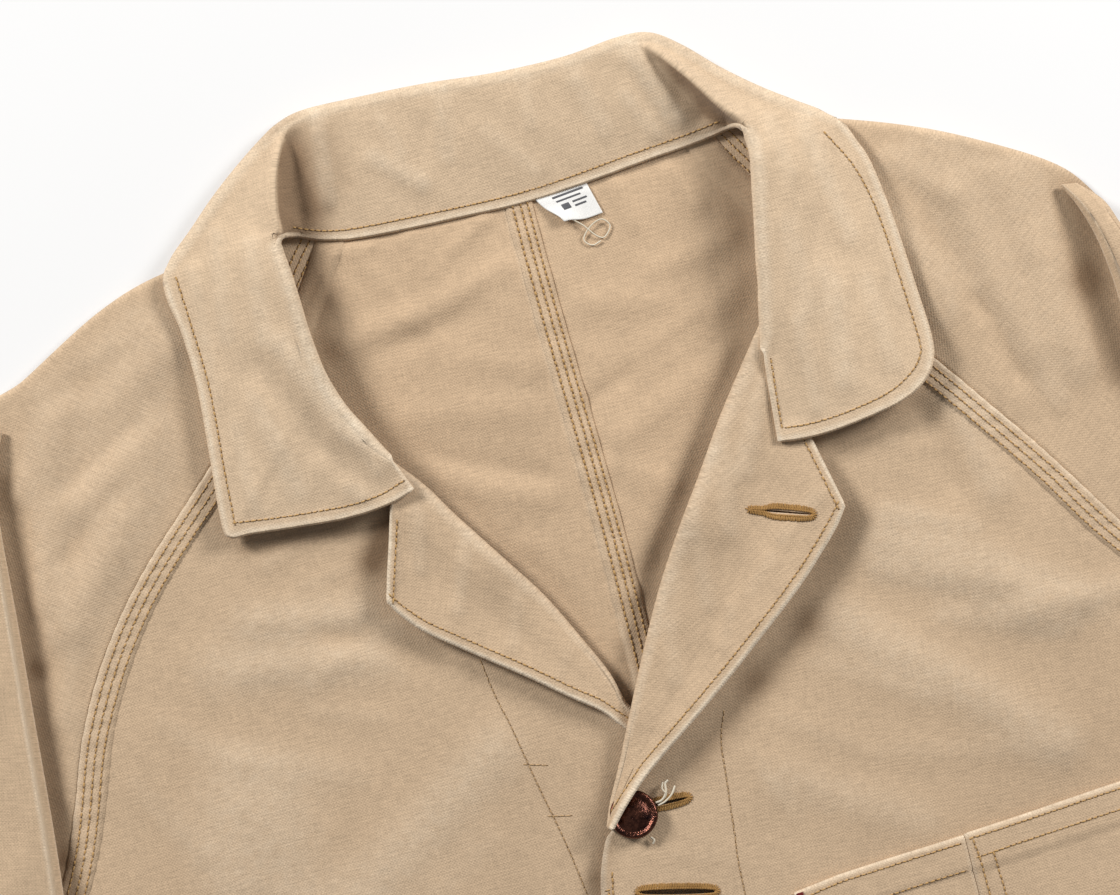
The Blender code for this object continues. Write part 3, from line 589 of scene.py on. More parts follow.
def neck_room(x, y):
    """1 well inside the neck opening and 0 outside it."""
    ys = [-row[0] for row in NECK_OPENING]
    left = np.interp(-y, ys, [row[1] for row in NECK_OPENING])
    right = np.interp(-y, ys, [row[2] for row in NECK_OPENING])
    across = smooth((x - left) / 11) * smooth((right - x) / 11)
    return across * smooth((200 + y) / 20) * smooth((5 - y) / 6)


def back_rise(x, y):
    """How far the back stands off the table."""
    ripple = 0.22 * np.sin(0.11 * x + 0.05 * y) * np.sin(0.07 * y - 0.04 * x + 1.0)
    seam = 0.25 * np.sin(0.42 * y + 0.5 * np.sin(0.13 * y)) * np.exp(-((x - centre_back(y) + 4) / 7) ** 2)
    return neck_room(x, y) * np.maximum(0.0, 0.7 + ripple + seam + folds(BACK_FOLDS, x, y))


def side_rows(side, inset):
    """Places x, y down the side seam, that far inside it."""
    downs, outs = [-y for _, y in SIDE_SEAM], [x - inset for x, _ in SIDE_SEAM]
    xs = np.interp(-np.array(SIDE_YS, float), downs, outs)
    return [(SIDES[side] * x, y) for x, y in zip(xs, SIDE_YS)]


SHOWN_SHARE = 0.56                 # share of a panel's length in which its rows lie close together


def rows_of(shown, hidden):
    """Row positions: many in the upper, visible part of a panel and fewer below it."""
    upper, lower = np.linspace(0, SHOWN_SHARE, shown, endpoint=False), np.linspace(SHOWN_SHARE, 1, hidden)
    return np.concatenate([upper, lower])


RAGLAN_ROWS = 14                   # rows of a panel's outer edge that lie on its raglan seam
BACK_T = rows_of(150, 60)
CENTRE_BAND = BAND_WIDTH - 1.3     # the centre back's felled seam is a little narrower
CENTRE_STEPS = [0, 1.5, 3, 4.5, 6, 7.5, CENTRE_BAND - 0.5, CENTRE_BAND]
BACK_SHARES = np.linspace(0, 1, 46)[1:] ** 1.3


def back(side):
    """Half of the back, with its share of the centre seam, its raglan seam and its hem."""
    sign, left = SIDES[side], side == "left"
    outer = np.array(list(even(RAGLAN_BACK[side], RAGLAN_ROWS + 1)) + side_rows(side, CLOTH + SEAM_GAP))
    inner = []
    for number, (_, y1) in enumerate(outer):
        y0 = 1.5 + (y1 - 5.5) * min(1.0, 0.4 + 0.3 * number) if number <= RAGLAN_ROWS else y1
        inner.append((centre_back(y0) + (0.0 if left else SEAM_GAP), y0))
    start, stop = along(inner, BACK_T), along(outer, BACK_T)
    span = np.linalg.norm(stop - start, axis=1)[:, None]
    rest = CENTRE_BAND + (span - CENTRE_BAND - BAND_WIDTH - 0.6) * BACK_SHARES
    steps = np.concatenate([np.array([CENTRE_STEPS]) * np.ones_like(span), rest,
                            span - BAND_WIDTH, span - 7, span - 3.5, span], axis=1)
    f = (steps / span)[..., None]
    flat = start[:, None] * (1 - f) + stop[:, None] * f
    flat[:, :, 0] = np.where(steps < CENTRE_BAND + 0.1, start[:, None, 0] + sign * steps, flat[:, :, 0])
    x, y = flat[..., 0], flat[..., 1] + NECK_REACH * np.exp(-BACK_T[:, None] * 60)
    raised, wear = np.zeros_like(x), np.zeros_like(x)
    if left:
        raised[steps < CENTRE_BAND - 0.2] = BAND_RISE
        wear = 0.3 * np.exp(-((steps - CENTRE_BAND) / 0.9) ** 2)
        wear += 0.16 * np.exp(-((steps - CENTRE_BAND / 2) / 5) ** 2)
    raised[(steps > span - BAND_WIDTH - 0.1) & (BACK_T[:, None] < 0.67)] = BAND_RISE
    raised[y < HEM_Y + HEM_DEPTH] = BAND_RISE
    # painted shade: the back is darkened where the collar and the fronts shade it
    shell(f"back_{side}", np.stack([x, y, back_rise(x, y)], axis=2), CLOTH + raised, "twill_shade",
          mirrored=left, wear=wear, deep=folds(PAINTED_SHADE_BACK, x, y), grain=1.2 * sign)


for side in SIDES:
    back(side)


# %% [markdown]
# ## The two fronts
# Each front is ruled between its free edge and the raglan seam, and turns down to the table at
# the side. A felled seam stands a little proud, with small puckers between its stitches.

# %% Fronts
# raglan seam of each front, from the neck to the underarm: x, y
RAGLAN_FRONT = {
    "right": [(90, -36), (131, -92), (162, -135), (182, -166), (230, -228), (280, -290)],
    "left": [(-99, -29), (-133, -62.5), (-175, -103), (-202, -144), (-225, -200), (-280, -290)],
}
NECK_EDGE = {"right": [(88, -37.5), (86, -55), (79, -68)], "left": [(-97, -31), (-97, -44), (-90, -58)]}
PLACKET_EDGE = {"right": [(-28.6, -231), (-33.4, -243), (-35.5, -256), (-37, -292)],
                "left": [(-4, -200), (9, -225), (16, -250), (17, -292)]}
# lapels, from the gorge down: roll x, y, middle x, y, outer edge x, y, edge's lift, thickness
LAPEL = {
    "right": [(76, -57.5, 76.5, -96, 84.5, -134, 5.4, 2.0), (63, -74, 66, -107, 79.5, -140.5, 5.2, 2.0),
              (50, -91, 56, -122, 67.5, -152.5, 5.4, 2.0), (38, -108.5, 46, -136, 55, -163.2, 5.2, 2.0),
              (26, -125.5, 36, -151, 43, -172.5, 5.0, 2.0), (13, -146, 23, -167, 30, -182.5, 4.8, 2.0),
              (0, -170, 8, -182.5, 14, -194, 4.6, 2.0), (-10, -190, -4.5, -197, -1, -204.5, 4.6, 1.9),
              (-18, -206, -13.5, -208.5, -9.5, -211, 5.0, 1.7),
              (-24, -217.5, -21, -218.4, -18.8, -219.6, 5.3, 1.5),
              (-27.5, -226, -26.2, -226.4, -25.2, -226.9, 3.8, 1.3)],
    "left": [(-73, -75.5, -74.5, -94, -84.5, -127, 5.4, 2.0), (-61.5, -89, -70.5, -106, -81.2, -132.3, 4.2, 2.0),
             (-54, -101, -65, -119, -74, -140.5, 3.8, 2.0), (-46, -113, -56, -130.5, -64, -148.5, 3.4, 2.0),
             (-38, -125, -46, -140.5, -53, -157, 3.0, 2.0), (-29, -139, -35.5, -152, -41, -166.3, 2.8, 2.0),
             (-20, -157, -24.5, -166.5, -28, -177, 2.4, 2.0), (-13.5, -171, -17, -177.5, -19, -184, 1.6, 2.0),
             (-10, -183, -12.5, -187, -14, -190, 0.8, 1.8),
             (-5, -190, -7.5, -193.5, -9, -196, 0.2, 1.3)],
}
# finer creases of the fronts and of what lies on them: start x, y, end x, y, half width, height
FINE_FOLDS = [
    (-130, -124, -98, -130, 4.5, 0.5), (-140, -140, -92, -146, 5.0, 0.55), (-120, -160, -96, -168, 4.0, 0.35),
    (-150, -170, -110, -186, 6.0, 0.45), (-84, -136, -120, -150, 4.0, 0.3), (-176, -150, -150, -172, 5.0, 0.4),
    (-70, -222, -110, -246, 6.0, 0.4), (-160, -214, -120, -240, 7.0, 0.45), (-190, -170, -172, -200, 5.0, 0.4),
    (135, -62, 150, -84, 4.0, 0.5), (150, -84, 152, -106, 4.0, 0.5), (100, -140, 128, -152, 4.0, 0.45),
    (92, -160, 138, -176, 5.0, 0.5), (110, -182, 152, -196, 5.0, 0.55), (60, -186, 96, -208, 4.5, 0.4),
    (44, -204, 74, -224, 4.5, 0.35), (84, -226, 140, -240, 6.0, 0.4), (2, -236, 14, -250, 3.5, 0.3),
    (-10, -240, 4, -246, 3.0, 0.3), (106, -116, 124, -122, 3.5, 0.35), (160, -190, 190, -214, 6.0, 0.4),
    (30, -212, 40, -240, 3.5, 0.3), (-104, -96, -124, -104, 4.0, 0.4), (-96, -112, -112, -114, 3.0, 0.3),
]
FRONT_T = rows_of(170, 60)
FRONT_COLUMNS = 100
# distances from the raglan seam of a front's last columns
SEAM_STEPS = np.array([BAND_WIDTH + 0.5, BAND_WIDTH, 9.6, 8.2, 6.8, 5.4, 4, 2.8, 1.4, 0])


def front_under(side, x, y):
    """Height of a front's under side, with all that the layers above it share."""
    climb = OVERLAP_RISE * (1 - smooth((x - 6) / 84)) if side == "right" else 0.0
    return FRONT_UNDER + climb + folds(FRONT_FOLDS, x, y) + folds(FINE_FOLDS, x, y) + undulation(x, y)


def front_top(side, x, y):
    return front_under(side, x, y) + CLOTH


def free_edge(side):
    """Inner edge of a front: neck, inside of the lapel's roll, placket."""
    rolled = []
    for xr, yr, xm, ym, _, _, _, thick in LAPEL[side][1:]:
        share = (thick + CLOTH / 2 + LAY_GAP + 0.4) / math.hypot(xm - xr, ym - yr)
        rolled.append((xr + (xm - xr) * share, yr + (ym - yr) * share))
    return NECK_EDGE[side] + rolled + PLACKET_EDGE[side]


def front(side):
    """A front: it ends in a felled band at its raglan seam, and turns down at the side below."""
    raglan_part = RAGLAN_ROWS / (RAGLAN_ROWS + len(SIDE_YS))
    outer = np.array(list(even(RAGLAN_FRONT[side], RAGLAN_ROWS + 1)) + side_rows(side, 0.0))
    edge = free_edge(side)
    start, stop = along(edge, np.minimum(FRONT_T / raglan_part, 1.0)), along(outer, FRONT_T)
    below = FRONT_T > raglan_part
    start[below] = np.stack([np.full(below.sum(), edge[-1][0]), stop[below][:, 1]], axis=1)
    span = np.linalg.norm(stop - start, axis=1)[:, None]
    squeeze = np.minimum(1.0, span / 30)
    bands = SEAM_STEPS * squeeze
    drops = np.zeros_like(bands)
    side_way = smooth((FRONT_T - raglan_part + 0.012) / 0.025)[:, None]
    angles = np.radians(np.linspace(0, 90, 7))
    turned = np.concatenate([CLOTH + SIDE_TURN * (1 - np.sin(angles)), [CLOTH]])[None, :]
    turned_drop = np.concatenate([SIDE_TURN * (1 - np.cos(angles)), [SIDE_TURN]])[None, :]
    bands[:, 2:] = bands[:, 2:] * (1 - side_way) + turned * side_way
    drops[:, 2:] = turned_drop * side_way
    inside = (span - bands[:, :1] - 0.6) * np.linspace(0, 1, FRONT_COLUMNS) ** 1.05
    steps = np.concatenate([inside, span - bands], axis=1)
    drops = np.concatenate([np.zeros_like(inside), drops], axis=1)
    f = (steps / span)[..., None]
    flat = start[:, None] * (1 - f) + stop[:, None] * f
    x, y = flat[..., 0], flat[..., 1]
    from_seam = span - steps
    lies = (1 - side_way) * np.exp(-((from_seam - 5) / 6) ** 2)
    run = np.cumsum(np.concatenate([[0], np.linalg.norm(np.diff(stop, axis=0), axis=1)]))[:, None]
    pucker = 0.16 * np.sin(run * 0.9 + 1.2 * np.sin(run * 0.21)) * lies
    z = front_under(side, x, y) + pucker - drops
    z[:, -1] *= 1 - side_way[:, 0]
    on_band = from_seam < BAND_WIDTH * squeeze + 0.05
    raised = np.where(on_band & (side_way < 0.5), BAND_RISE, 0.0)
    raised = np.where((y < HEM_Y + HEM_DEPTH) & (from_seam > 8), BAND_RISE, raised)
    wear = 0.4 * np.exp(-(from_seam / 0.9) ** 2) * (1 - side_way) + 0.14 * lies
    wear += 0.8 * np.exp(-(steps / 1.1) ** 2)
    wear += 0.16 * np.clip(folds(FRONT_FOLDS, x, y) + folds(FINE_FOLDS, x, y) * 1.5, 0, 1.5)
    # painted shade: the front is darkened in hollows and under raised edges, where shadow falls
    shell(f"front_{side}", np.stack([x, y, z], axis=2), CLOTH + raised, "twill", mirrored=side == "left",
          wear=np.clip(wear, 0, 1), deep=folds(PAINTED_SHADE_FRONT, x, y), grain=-1.5 * SIDES[side])


for side in SIDES:
    front(side)


# %% [markdown]
# ## Raglan sleeves
# A raglan sleeve runs up to the neck, so its shoulder is cut in one with the arm. The shoulder
# part folds over at the top and returns underneath. The arm is a flattened tube that comes down
# from the body to the table, and its inner edge lies as a pleat over the shoulder part.

# %% Shoulders and arms
# shoulder fold, from the neck, over the shoulder and on beneath the arm: x, y
SHOULDER = {
    "right": [(87, 9), (115, 3.4), (150, -9.5), (187, -30), (200.5, -44.5), (206.5, -60), (222, -98),
              (246, -150), (268, -215), (284, -286)],
    "left": [(-92, 11.5), (-133, 8.6), (-160, 1), (-193, -16.5), (-214, -28), (-233, -75),
             (-254, -140), (-270, -215), (-284, -286)],
}
# creases of the shoulders: start x, y, end x, y, half width, height
SHOULDER_FOLDS = [
    (150, -18, 168, -92, 11.0, 2.0), (120, -22, 136, -74, 8.0, 1.4), (176, -34, 180, -104, 8.0, 2.2),
    (193, -46, 194, -110, 6.5, -1.5), (-146, -14, -176, -70, 12.0, 2.2), (-186, -34, -204, -96, 8.0, 2.0),
    (-152, -56, -196, -108, 9.0, 1.6), (-207, -66, -214, -120, 5.0, -1.2),
    (132, -16, 150, -34, 5.0, 1.0), (150, -34, 158, -70, 6.0, 1.0), (126, -40, 140, -62, 5.0, 0.8),
    (166, -30, 172, -60, 5.0, 0.9), (150, -76, 157, -104, 4.5, -1.1), (160, -78, 170, -116, 5.0, 1.0),
    (146, -8, 170, -20, 4.0, 0.6), (-140, -20, -170, -34, 6.0, 0.9), (-160, -44, -190, -60, 4.5, -0.8),
    (-150, -46, -186, -66, 6.0, 1.0), (-180, -30, -204, -56, 6.0, 0.9), (-178, -86, -204, -110, 6.0, 1.0),
    (-160, -12, -190, -22, 5.0, 0.7), (-196, -110, -210, -140, 5.0, 0.8), (-170, -66, -196, -84, 5.0, -0.8),
    (-204, -140, -214, -168, 4.5, 0.5),
]
# arms, from the shoulder to the hem: inner fold x, y, outer fold x, y, hollow, thickness
ARM = {
    "right": [(189.5, -40.5, 195.5, -41.5, 1.0, 0.4), (193.5, -49, 203.5, -50.5, 2.4, 1.0),
              (197.0, -61, 208, -62, 3.6, 1.4), (199, -76, 216, -76, 4.4, 1.4),
              (201, -100, 229, -99, 4.8, 1.4),
              (209, -140, 251, -139, 4.8, 1.4), (218, -185, 277, -183, 4.6, 1.4),
              (226, -240, 308, -236, 4.2, 1.4), (231, -300, 344, -288, 3.6, 1.4),
              (238, -370, 386, -352, 3.6, 1.4), (256, -450, 412, -420, 3.6, 1.4),
              (276, -530, 428, -490, 3.6, 1.4), (291, -596, 437, -556, 3.4, 1.4),
              (299, -628, 440, -589, 3.2, 1.4)],
    "left": [(-205, -33, -213, -30.5, 1.0, 0.4), (-209.5, -45, -223, -40.5, 2.2, 1.2),
             (-213.5, -64, -237, -58, 3.4, 1.4), (-216, -100, -257, -97, 4.2, 1.4),
             (-219, -140, -276, -135, 4.6, 1.4), (-222.5, -185, -298, -180, 4.6, 1.4),
             (-228, -240, -324, -233, 4.2, 1.4), (-232, -300, -352, -288, 3.6, 1.4),
             (-238, -370, -388, -352, 3.6, 1.4), (-256, -450, -412, -420, 3.6, 1.4),
             (-276, -530, -428, -490, 3.6, 1.4), (-291, -596, -437, -556, 3.4, 1.4),
             (-299, -628, -440, -589, 3.2, 1.4)],
}
# creases of the arms, mostly out of sight: start x, y, end x, y, half width, height
ARM_FOLDS = [
    (204, -60, 208, -100, 3.5, 0.5), (214, -110, 236, -150, 7.0, 0.9), (240, -180, 292, -240, 9.0, 1.2),
    (236, -300, 330, -320, 11.0, 1.4), (246, -350, 380, -390, 12.0, 1.3), (270, -460, 400, -440, 11.0, 1.2),
    (286, -540, 420, -530, 12.0, 1.0), (-222, -60, -232, -100, 6.0, 0.7), (-228, -120, -262, -150, 8.0, 1.0),
    (-236, -190, -300, -220, 10.0, 1.2), (-240, -290, -340, -310, 11.0, 1.4),
    (-250, -370, -390, -380, 12.0, 1.3), (-272, -470, -410, -440, 11.0, 1.2), (-290, -550, -430, -520, 12.0, 1.0),
]

CAP_ROWS, CAP_COLUMNS, CAP_RETURN = 130, 52, 16    # rows, columns over the shoulder and beneath it
FOLD_COLUMNS = 8                                   # columns round the shoulder's fold
DEEPEST = -0.2                                     # how far a shoulder's creases dip at most
ARM_COLUMNS = 44                                   # columns of each face of the flattened tube
ARM_HEM, ARM_HEM_TOP = 0.955, 0.958                # shares of an arm's length where its hem steps up
ARM_T = np.concatenate([np.linspace(0, 0.08, 26, endpoint=False), np.linspace(0.08, ARM_HEM, 130),
                        [ARM_HEM_TOP, 1.0]])
ARM_AIR = 0.4                                      # room under an arm for what the fronts' folds add


def hairpin(start, fold, end, z_start, z_end, radius, front_shares, back_shares):
    """Rows of points that run from start, turn over at the fold and come back to end."""
    into, out = unit(start - fold), unit(end - fold)
    first, last = fold + into * (CLOTH + radius), fold + out * (CLOTH + radius)
    middle = (first + last) / 2
    parts = [start[:, None] + (first - start)[:, None] * front_shares[None, :, None]]
    heights = [np.full(len(front_shares), z_start)]
    angles = np.radians(np.linspace(20, 160, FOLD_COLUMNS))
    mix = (1 + np.cos(angles))[None, :, None] / 2
    bulge = (fold - middle)[:, None] * (radius / (CLOTH + radius)) * np.sin(angles)[None, :, None]
    parts.append(first[:, None] * mix + last[:, None] * (1 - mix) + bulge)
    heights.append((z_start + z_end) / 2 + (z_start - z_end) / 2 * np.cos(angles))
    parts.append(end[:, None] + (last - end)[:, None] * back_shares[::-1][None, :, None])
    heights.append(np.full(len(back_shares), z_end))
    flat = np.concatenate(parts, axis=1)
    return lifted(flat, np.broadcast_to(np.concatenate(heights), flat.shape[:2]))


def cap(side):
    """The shoulder part of a sleeve: over the shoulder, round its fold and back beneath."""
    fronts, backs, fold = (even(rows[side], CAP_ROWS) for rows in (RAGLAN_FRONT, RAGLAN_BACK, SHOULDER))
    start = fronts + unit(fold - fronts) * SEAM_GAP + (SIDES[side] * SEAM_GAP * 0.4, 0)
    end = backs + unit(fold - backs) * SEAM_GAP
    sheet = hairpin(start, fold, end, FRONT_UNDER, CLOTH, (FRONT_UNDER - CLOTH) / 2,
                    np.linspace(0, 1, CAP_COLUMNS), np.linspace(0, 1, CAP_RETURN))
    reach = np.minimum(1.0, np.arange(sheet.shape[1]) / CAP_COLUMNS)[None, :]
    sheet[..., 1] += NECK_REACH * np.exp(-0.318 * np.arange(len(sheet)))[:, None] * smooth(reach)
    x, y = sheet[:, :CAP_COLUMNS, 0], sheet[:, :CAP_COLUMNS, 1]
    rise = folds(FRONT_FOLDS, x, y) + folds(SHOULDER_FOLDS, x, y) + folds(FINE_FOLDS, x, y)
    rise = np.maximum(rise + undulation(x, y), DEEPEST)
    sheet[:, :CAP_COLUMNS, 2] += rise
    fade = np.linspace(1, 0, FOLD_COLUMNS + 2)[None, 1:-1]
    sheet[:, CAP_COLUMNS:CAP_COLUMNS + FOLD_COLUMNS, 2] += rise[:, -1:] * fade
    x, y = sheet[..., 0], sheet[..., 1]
    wear = 0.14 * np.clip(folds(SHOULDER_FOLDS, x, y), 0, 1)
    # painted shade: the shoulder is darkened beside the arm's pleat, where its shadow falls
    shell(f"sleeve_cap_{side}", sheet, CLOTH, "twill", mirrored=side == "left", wear=wear,
          deep=folds(PAINTED_SHADE_FRONT, x, y), grain=SIDES[side] * 38.0)


def body_edge(side, y):
    """Distance of the outer edge of body or shoulder from the middle, beneath an arm."""
    rows = SHOULDER[side][3:] + [(x * SIDES[side], y) for x, y in SIDE_SEAM[1:]]
    return np.interp(-y, [-row[1] for row in rows], [abs(row[0]) for row in rows]) + ARM_CLEAR


def arm_floor(side, x, y):
    """Height of what an arm lies on: the body inside, the table outside."""
    beyond = np.abs(x) - body_edge(side, y)
    body = FRONT_UNDER + CLOTH + BAND_RISE + LAY_GAP + ARM_AIR
    return body * (1 - smooth(beyond / ARM_FALL))


def arm(side):
    """The flattened tube of a sleeve, from the shoulder down to its hem."""
    rows = along(ARM[side], ARM_T)
    inner, outer, hollow, thick = rows[:, 0:2], rows[:, 2:4], rows[:, 4:5], rows[:, 5:6]
    axis = unit(outer - inner)
    radius = hollow / 2
    first, last = inner + axis * (thick + radius), outer - axis * (thick + radius)
    shares = np.linspace(0, 1, ARM_COLUMNS)
    flat = first[:, None] + (last - first)[:, None] * shares[None, :, None]
    x, y = flat[..., 0], flat[..., 1]
    floor = arm_floor(side, x, y)
    soft = np.minimum(1.0, shares * 8) * np.minimum(1.0, np.linspace(1, 0, ARM_COLUMNS) * 8)
    rise = np.clip(folds(ARM_FOLDS, x, y) + 0.7 * undulation(x, y), 0.0, None)
    rise = rise * soft * np.minimum(1, ARM_T * 12)[:, None]
    upper, lower = lifted(flat, floor + thick + hollow + rise), lifted(flat, floor + thick)[:, ::-1]
    angles = np.radians([30, 60, 90, 120, 150])[None, :]
    turns = []
    for start, way, order in ((last, 1, slice(None)), (first, -1, slice(None, None, -1))):
        xy = start[:, None] + way * axis[:, None] * radius[:, None] * np.sin(angles)[..., None]
        level = arm_floor(side, start[:, 0], start[:, 1])[:, None] + thick + radius * (1 + np.cos(angles))
        turns.append(lifted(xy, level)[:, order])
    sheet = np.concatenate([upper, turns[0], lower, turns[1]], axis=1)
    grown = np.broadcast_to(thick, sheet.shape[:2]).copy()
    grown[-2:, :ARM_COLUMNS] += BAND_RISE
    wear = np.zeros(sheet.shape[:2])
    wear[:, 0] = wear[:, -3] = wear[-2:] = 0.5
    shell(f"sleeve_arm_{side}", sheet, grown, "twill", ring=True, mirrored=side == "left", wear=wear)


for side in SIDES:
    cap(side)
    arm(side)


# %% [markdown]
# ## Lapels and collar
# A lapel is the top of the front's facing turned back, so it wraps round the front's edge at the
# roll and lies on the front. The collar is one band: at the back its inner face shows, from the
# neck seam up to the roll, and over the shoulders it turns over and falls on the fronts.

# %% Lapels
# creases of the lapels: start x, y, end x, y, half width, height
LAPEL_FOLDS = [
    (66, -84, 52, -112, 4.5, 1.0), (46, -104, 42, -132, 4.0, 0.8), (76, -128, 60, -140, 3.5, 0.6),
    (30, -130, 28, -156, 4.0, 0.7), (12, -160, 10, -180, 3.5, 0.6), (60, -120, 70, -146, 3.5, -0.5),
    (54, -146, 44, -156, 3.0, 0.5), (36, -160, 30, -172, 3.0, 0.5), (20, -146, 14, -160, 3.5, 0.5),
    (-66, -98, -70, -118, 3.5, 0.8), (-52, -114, -60, -136, 3.5, 0.8), (-38, -136, -44, -154, 3.5, 0.6),
    (-76, -104, -80, -120, 3.0, 0.5), (-24, -158, -30, -168, 3.0, 0.4),
]
LAPEL_ROWS, LAPEL_COLUMNS = 150, 26    # rows down a lapel, and columns on each side of its middle


def lapel(side):
    """A lapel: round the front's edge at the roll, then out over the front to its own edge."""
    rows = along(LAPEL[side], np.linspace(0, 1, LAPEL_ROWS))
    roll, middle, edge, lift, thick = rows[:, 0:2], rows[:, 2:4], rows[:, 4:6], rows[:, 6:7], rows[:, 7:8]
    radius = CLOTH / 2 + LAY_GAP
    axis = unit(middle - roll)
    centre = roll + axis * (radius + thick)
    level = front_under(side, centre[:, 0], centre[:, 1])[:, None] + CLOTH / 2
    angles = np.radians([-30, -10, 10, 30, 50, 70, 90])[None, :]
    turn = centre[:, None] - axis[:, None] * radius * np.cos(angles)[..., None]
    parts = [lifted(turn, level + radius * np.sin(angles))]
    room = np.minimum(1.0, np.linalg.norm(edge - roll, axis=1)[:, None] / 40)
    f = np.linspace(0, 1, LAPEL_COLUMNS + 1)[1:]
    for start, stop, low, high in ((centre, middle, 0.0, 0.4), (middle, edge, 0.4, 1.0)):
        flat = start[:, None] + (stop - start)[:, None] * f[None, :, None]
        share = low + (high - low) * (f if low == 0 else smooth(f))[None, :]
        x, y = flat[..., 0], flat[..., 1]
        rise = folds(LAPEL_FOLDS, x, y) + 0.25 + 0.12 * np.sin(0.3 * x + 0.22 * y)
        rise = np.clip(rise, 0, None) * room
        z = front_top(side, x, y) + PATCH_GAP + lift * share + rise * smooth(share * 4)
        parts.append(lifted(flat, z))
    sheet = np.concatenate(parts, axis=1)
    column = np.arange(sheet.shape[1])
    wear = rim_wear(sheet, ["last"], 1.1) + 0.8 * rim_wear(sheet, ["top"], 1.0) * (column > 24)
    wear += 0.3 * np.exp(-((column - 5) / 4.0) ** 2)
    wear += 0.2 * np.clip(folds(LAPEL_FOLDS, sheet[..., 0], sheet[..., 1]), 0, 1)
    shell(f"lapel_{side}", sheet, np.broadcast_to(thick, sheet.shape[:2]), "twill",
          mirrored=side == "left", wear=np.clip(wear, 0, 1), grain=SIDES[side] * 24.0)


for side in SIDES:
    lapel(side)


# %% [markdown]
# The collar's table has a row for each place along it, from one end round the back to the other.
# Over each shoulder the cloth has a crest: outside it the collar falls outwards, and inside it
# the cloth drops down to the neck seam. A second table says where that crest lies.

# %% Collar
# upper face, from the collar's left end round the back to its right end. drop and under say how
# far the cloth turns down and runs on beneath: outer x, y, z, drop, under, then inner ones
COLLAR = [
    (-65.5, -90, 13.6, 2.2, 0, -70.6, -76.5, 15.2, 2.8, 3),
    (-75, -92.6, 13.2, 2.6, 0, -72.8, -72.5, 16.0, 3.0, 5),
    (-90, -93.8, 11.6, 2.6, 0, -76.7, -65, 16.4, 3.8, 8),
    (-110, -92.4, 10.6, 2.6, 0, -81.5, -56, 16.6, 4.0, 9),
    (-126, -90.8, 10.2, 2.6, 0, -84.5, -48, 16.4, 4.2, 10),
    (-133.6, -90.2, 10.4, 2.6, 0, -86, -42.5, 17.0, 4.2, 10),
    (-135, -84, 10.0, 2.6, 0, -87, -37, 17.4, 4.2, 10),
    (-133.2, -60, 9.4, 2.6, 0, -88.3, -24, 18.0, 4.4, 10),
    (-131.5, -34, 9.0, 2.6, 0, -88.8, -12, 18.2, 4.4, 9),
    (-132.3, -14, 8.8, 2.8, 0, -89.5, -2, 17.6, 4.4, 7),
    (-134.3, -2, 8.4, 3.2, 0, -90.2, 4.5, 16.2, 4.0, 4),
    (-134, 7, 7.9, 4.4, 1.2, -90.0, 8.2, 13.2, 3.4, 1.2),
    (-129, 13.2, 7.4, 5.4, 3, -88.6, 10.2, 8.0, 2.8, 0.2),
    (-120, 21, 7.2, 5.6, 7, -86, 10.2, 5.2, 2.6, 0),
    (-110, 30, 7.0, 5.6, 14, -83.5, 9.6, 4.0, 2.6, 0),
    (-99, 38.6, 6.8, 5.4, 21, -80.5, 8.4, 3.5, 2.6, 0),
    (-88, 46.2, 6.4, 5.2, 29, -76.5, 6.9, 3.0, 2.6, 0),
    (-80, 50.6, 6.2, 5.0, 34, -71, 5.4, 2.9, 2.6, 0),
    (-70, 52.8, 6.2, 5.0, 37, -63, 4.0, 2.9, 2.6, 0),
    (-50, 52.4, 6.2, 5.0, 38, -46, 2.9, 2.9, 2.6, 0),
    (-25, 51.2, 6.2, 5.0, 38, -24, 2.2, 2.9, 2.6, 0),
    (0, 48.8, 6.2, 5.0, 36, 0, 1.7, 2.9, 2.6, 0),
    (26, 48.3, 6.2, 5.0, 35, 26, 3.6, 2.9, 2.6, 0),
    (46, 50.3, 6.4, 5.2, 34, 47, 5.8, 2.9, 2.6, 0),
    (58, 49.3, 6.6, 5.4, 31, 61, 7.0, 2.9, 2.6, 0),
    (68, 42.4, 7.0, 5.6, 24, 71, 8.2, 3.2, 2.6, 0),
    (80, 30.7, 7.2, 5.8, 17, 77, 9.2, 4.0, 2.6, 0),
    (92, 20.6, 7.4, 5.8, 10, 80.5, 8.8, 6.6, 2.8, 0.2),
    (103, 12.6, 7.8, 5.6, 5, 82.4, 6.2, 13.0, 3.4, 1.2),
    (111.5, 6.6, 8.2, 5.0, 2.6, 83, 2, 16.2, 4.0, 4),
    (117.5, 1, 8.6, 3.8, 0.9, 83, -3, 18.0, 4.2, 8),
    (121, -7, 9.0, 3.0, 0, 82.2, -8, 18.2, 4.4, 9),
    (124, -16, 9.4, 2.8, 0, 81, -14, 18.2, 4.4, 9),
    (127, -38, 9.8, 2.6, 0, 78.8, -26, 17.8, 4.4, 10),
    (128.8, -64, 10.6, 2.6, 0, 76, -40, 17.0, 4.2, 10),
    (129.7, -82, 11.6, 2.6, 0, 74.6, -49, 16.2, 4.2, 10),
    (128, -91, 12.2, 2.6, 0, 73.4, -54, 15.8, 4.0, 9),
    (122.5, -97.6, 12.6, 2.6, 0, 72.6, -58, 15.4, 3.8, 8),
    (112, -102.4, 12.6, 2.6, 0, 71.8, -62, 15.0, 3.8, 7),
    (92, -105.8, 12.6, 2.6, 0, 71, -66, 14.6, 3.6, 6),
    (78, -106.4, 12.6, 2.6, 0, 70.4, -69, 14.2, 3.0, 4),
    (67.5, -105.4, 12.6, 2.2, 0, 70, -71.5, 13.9, 2.8, 3),
]
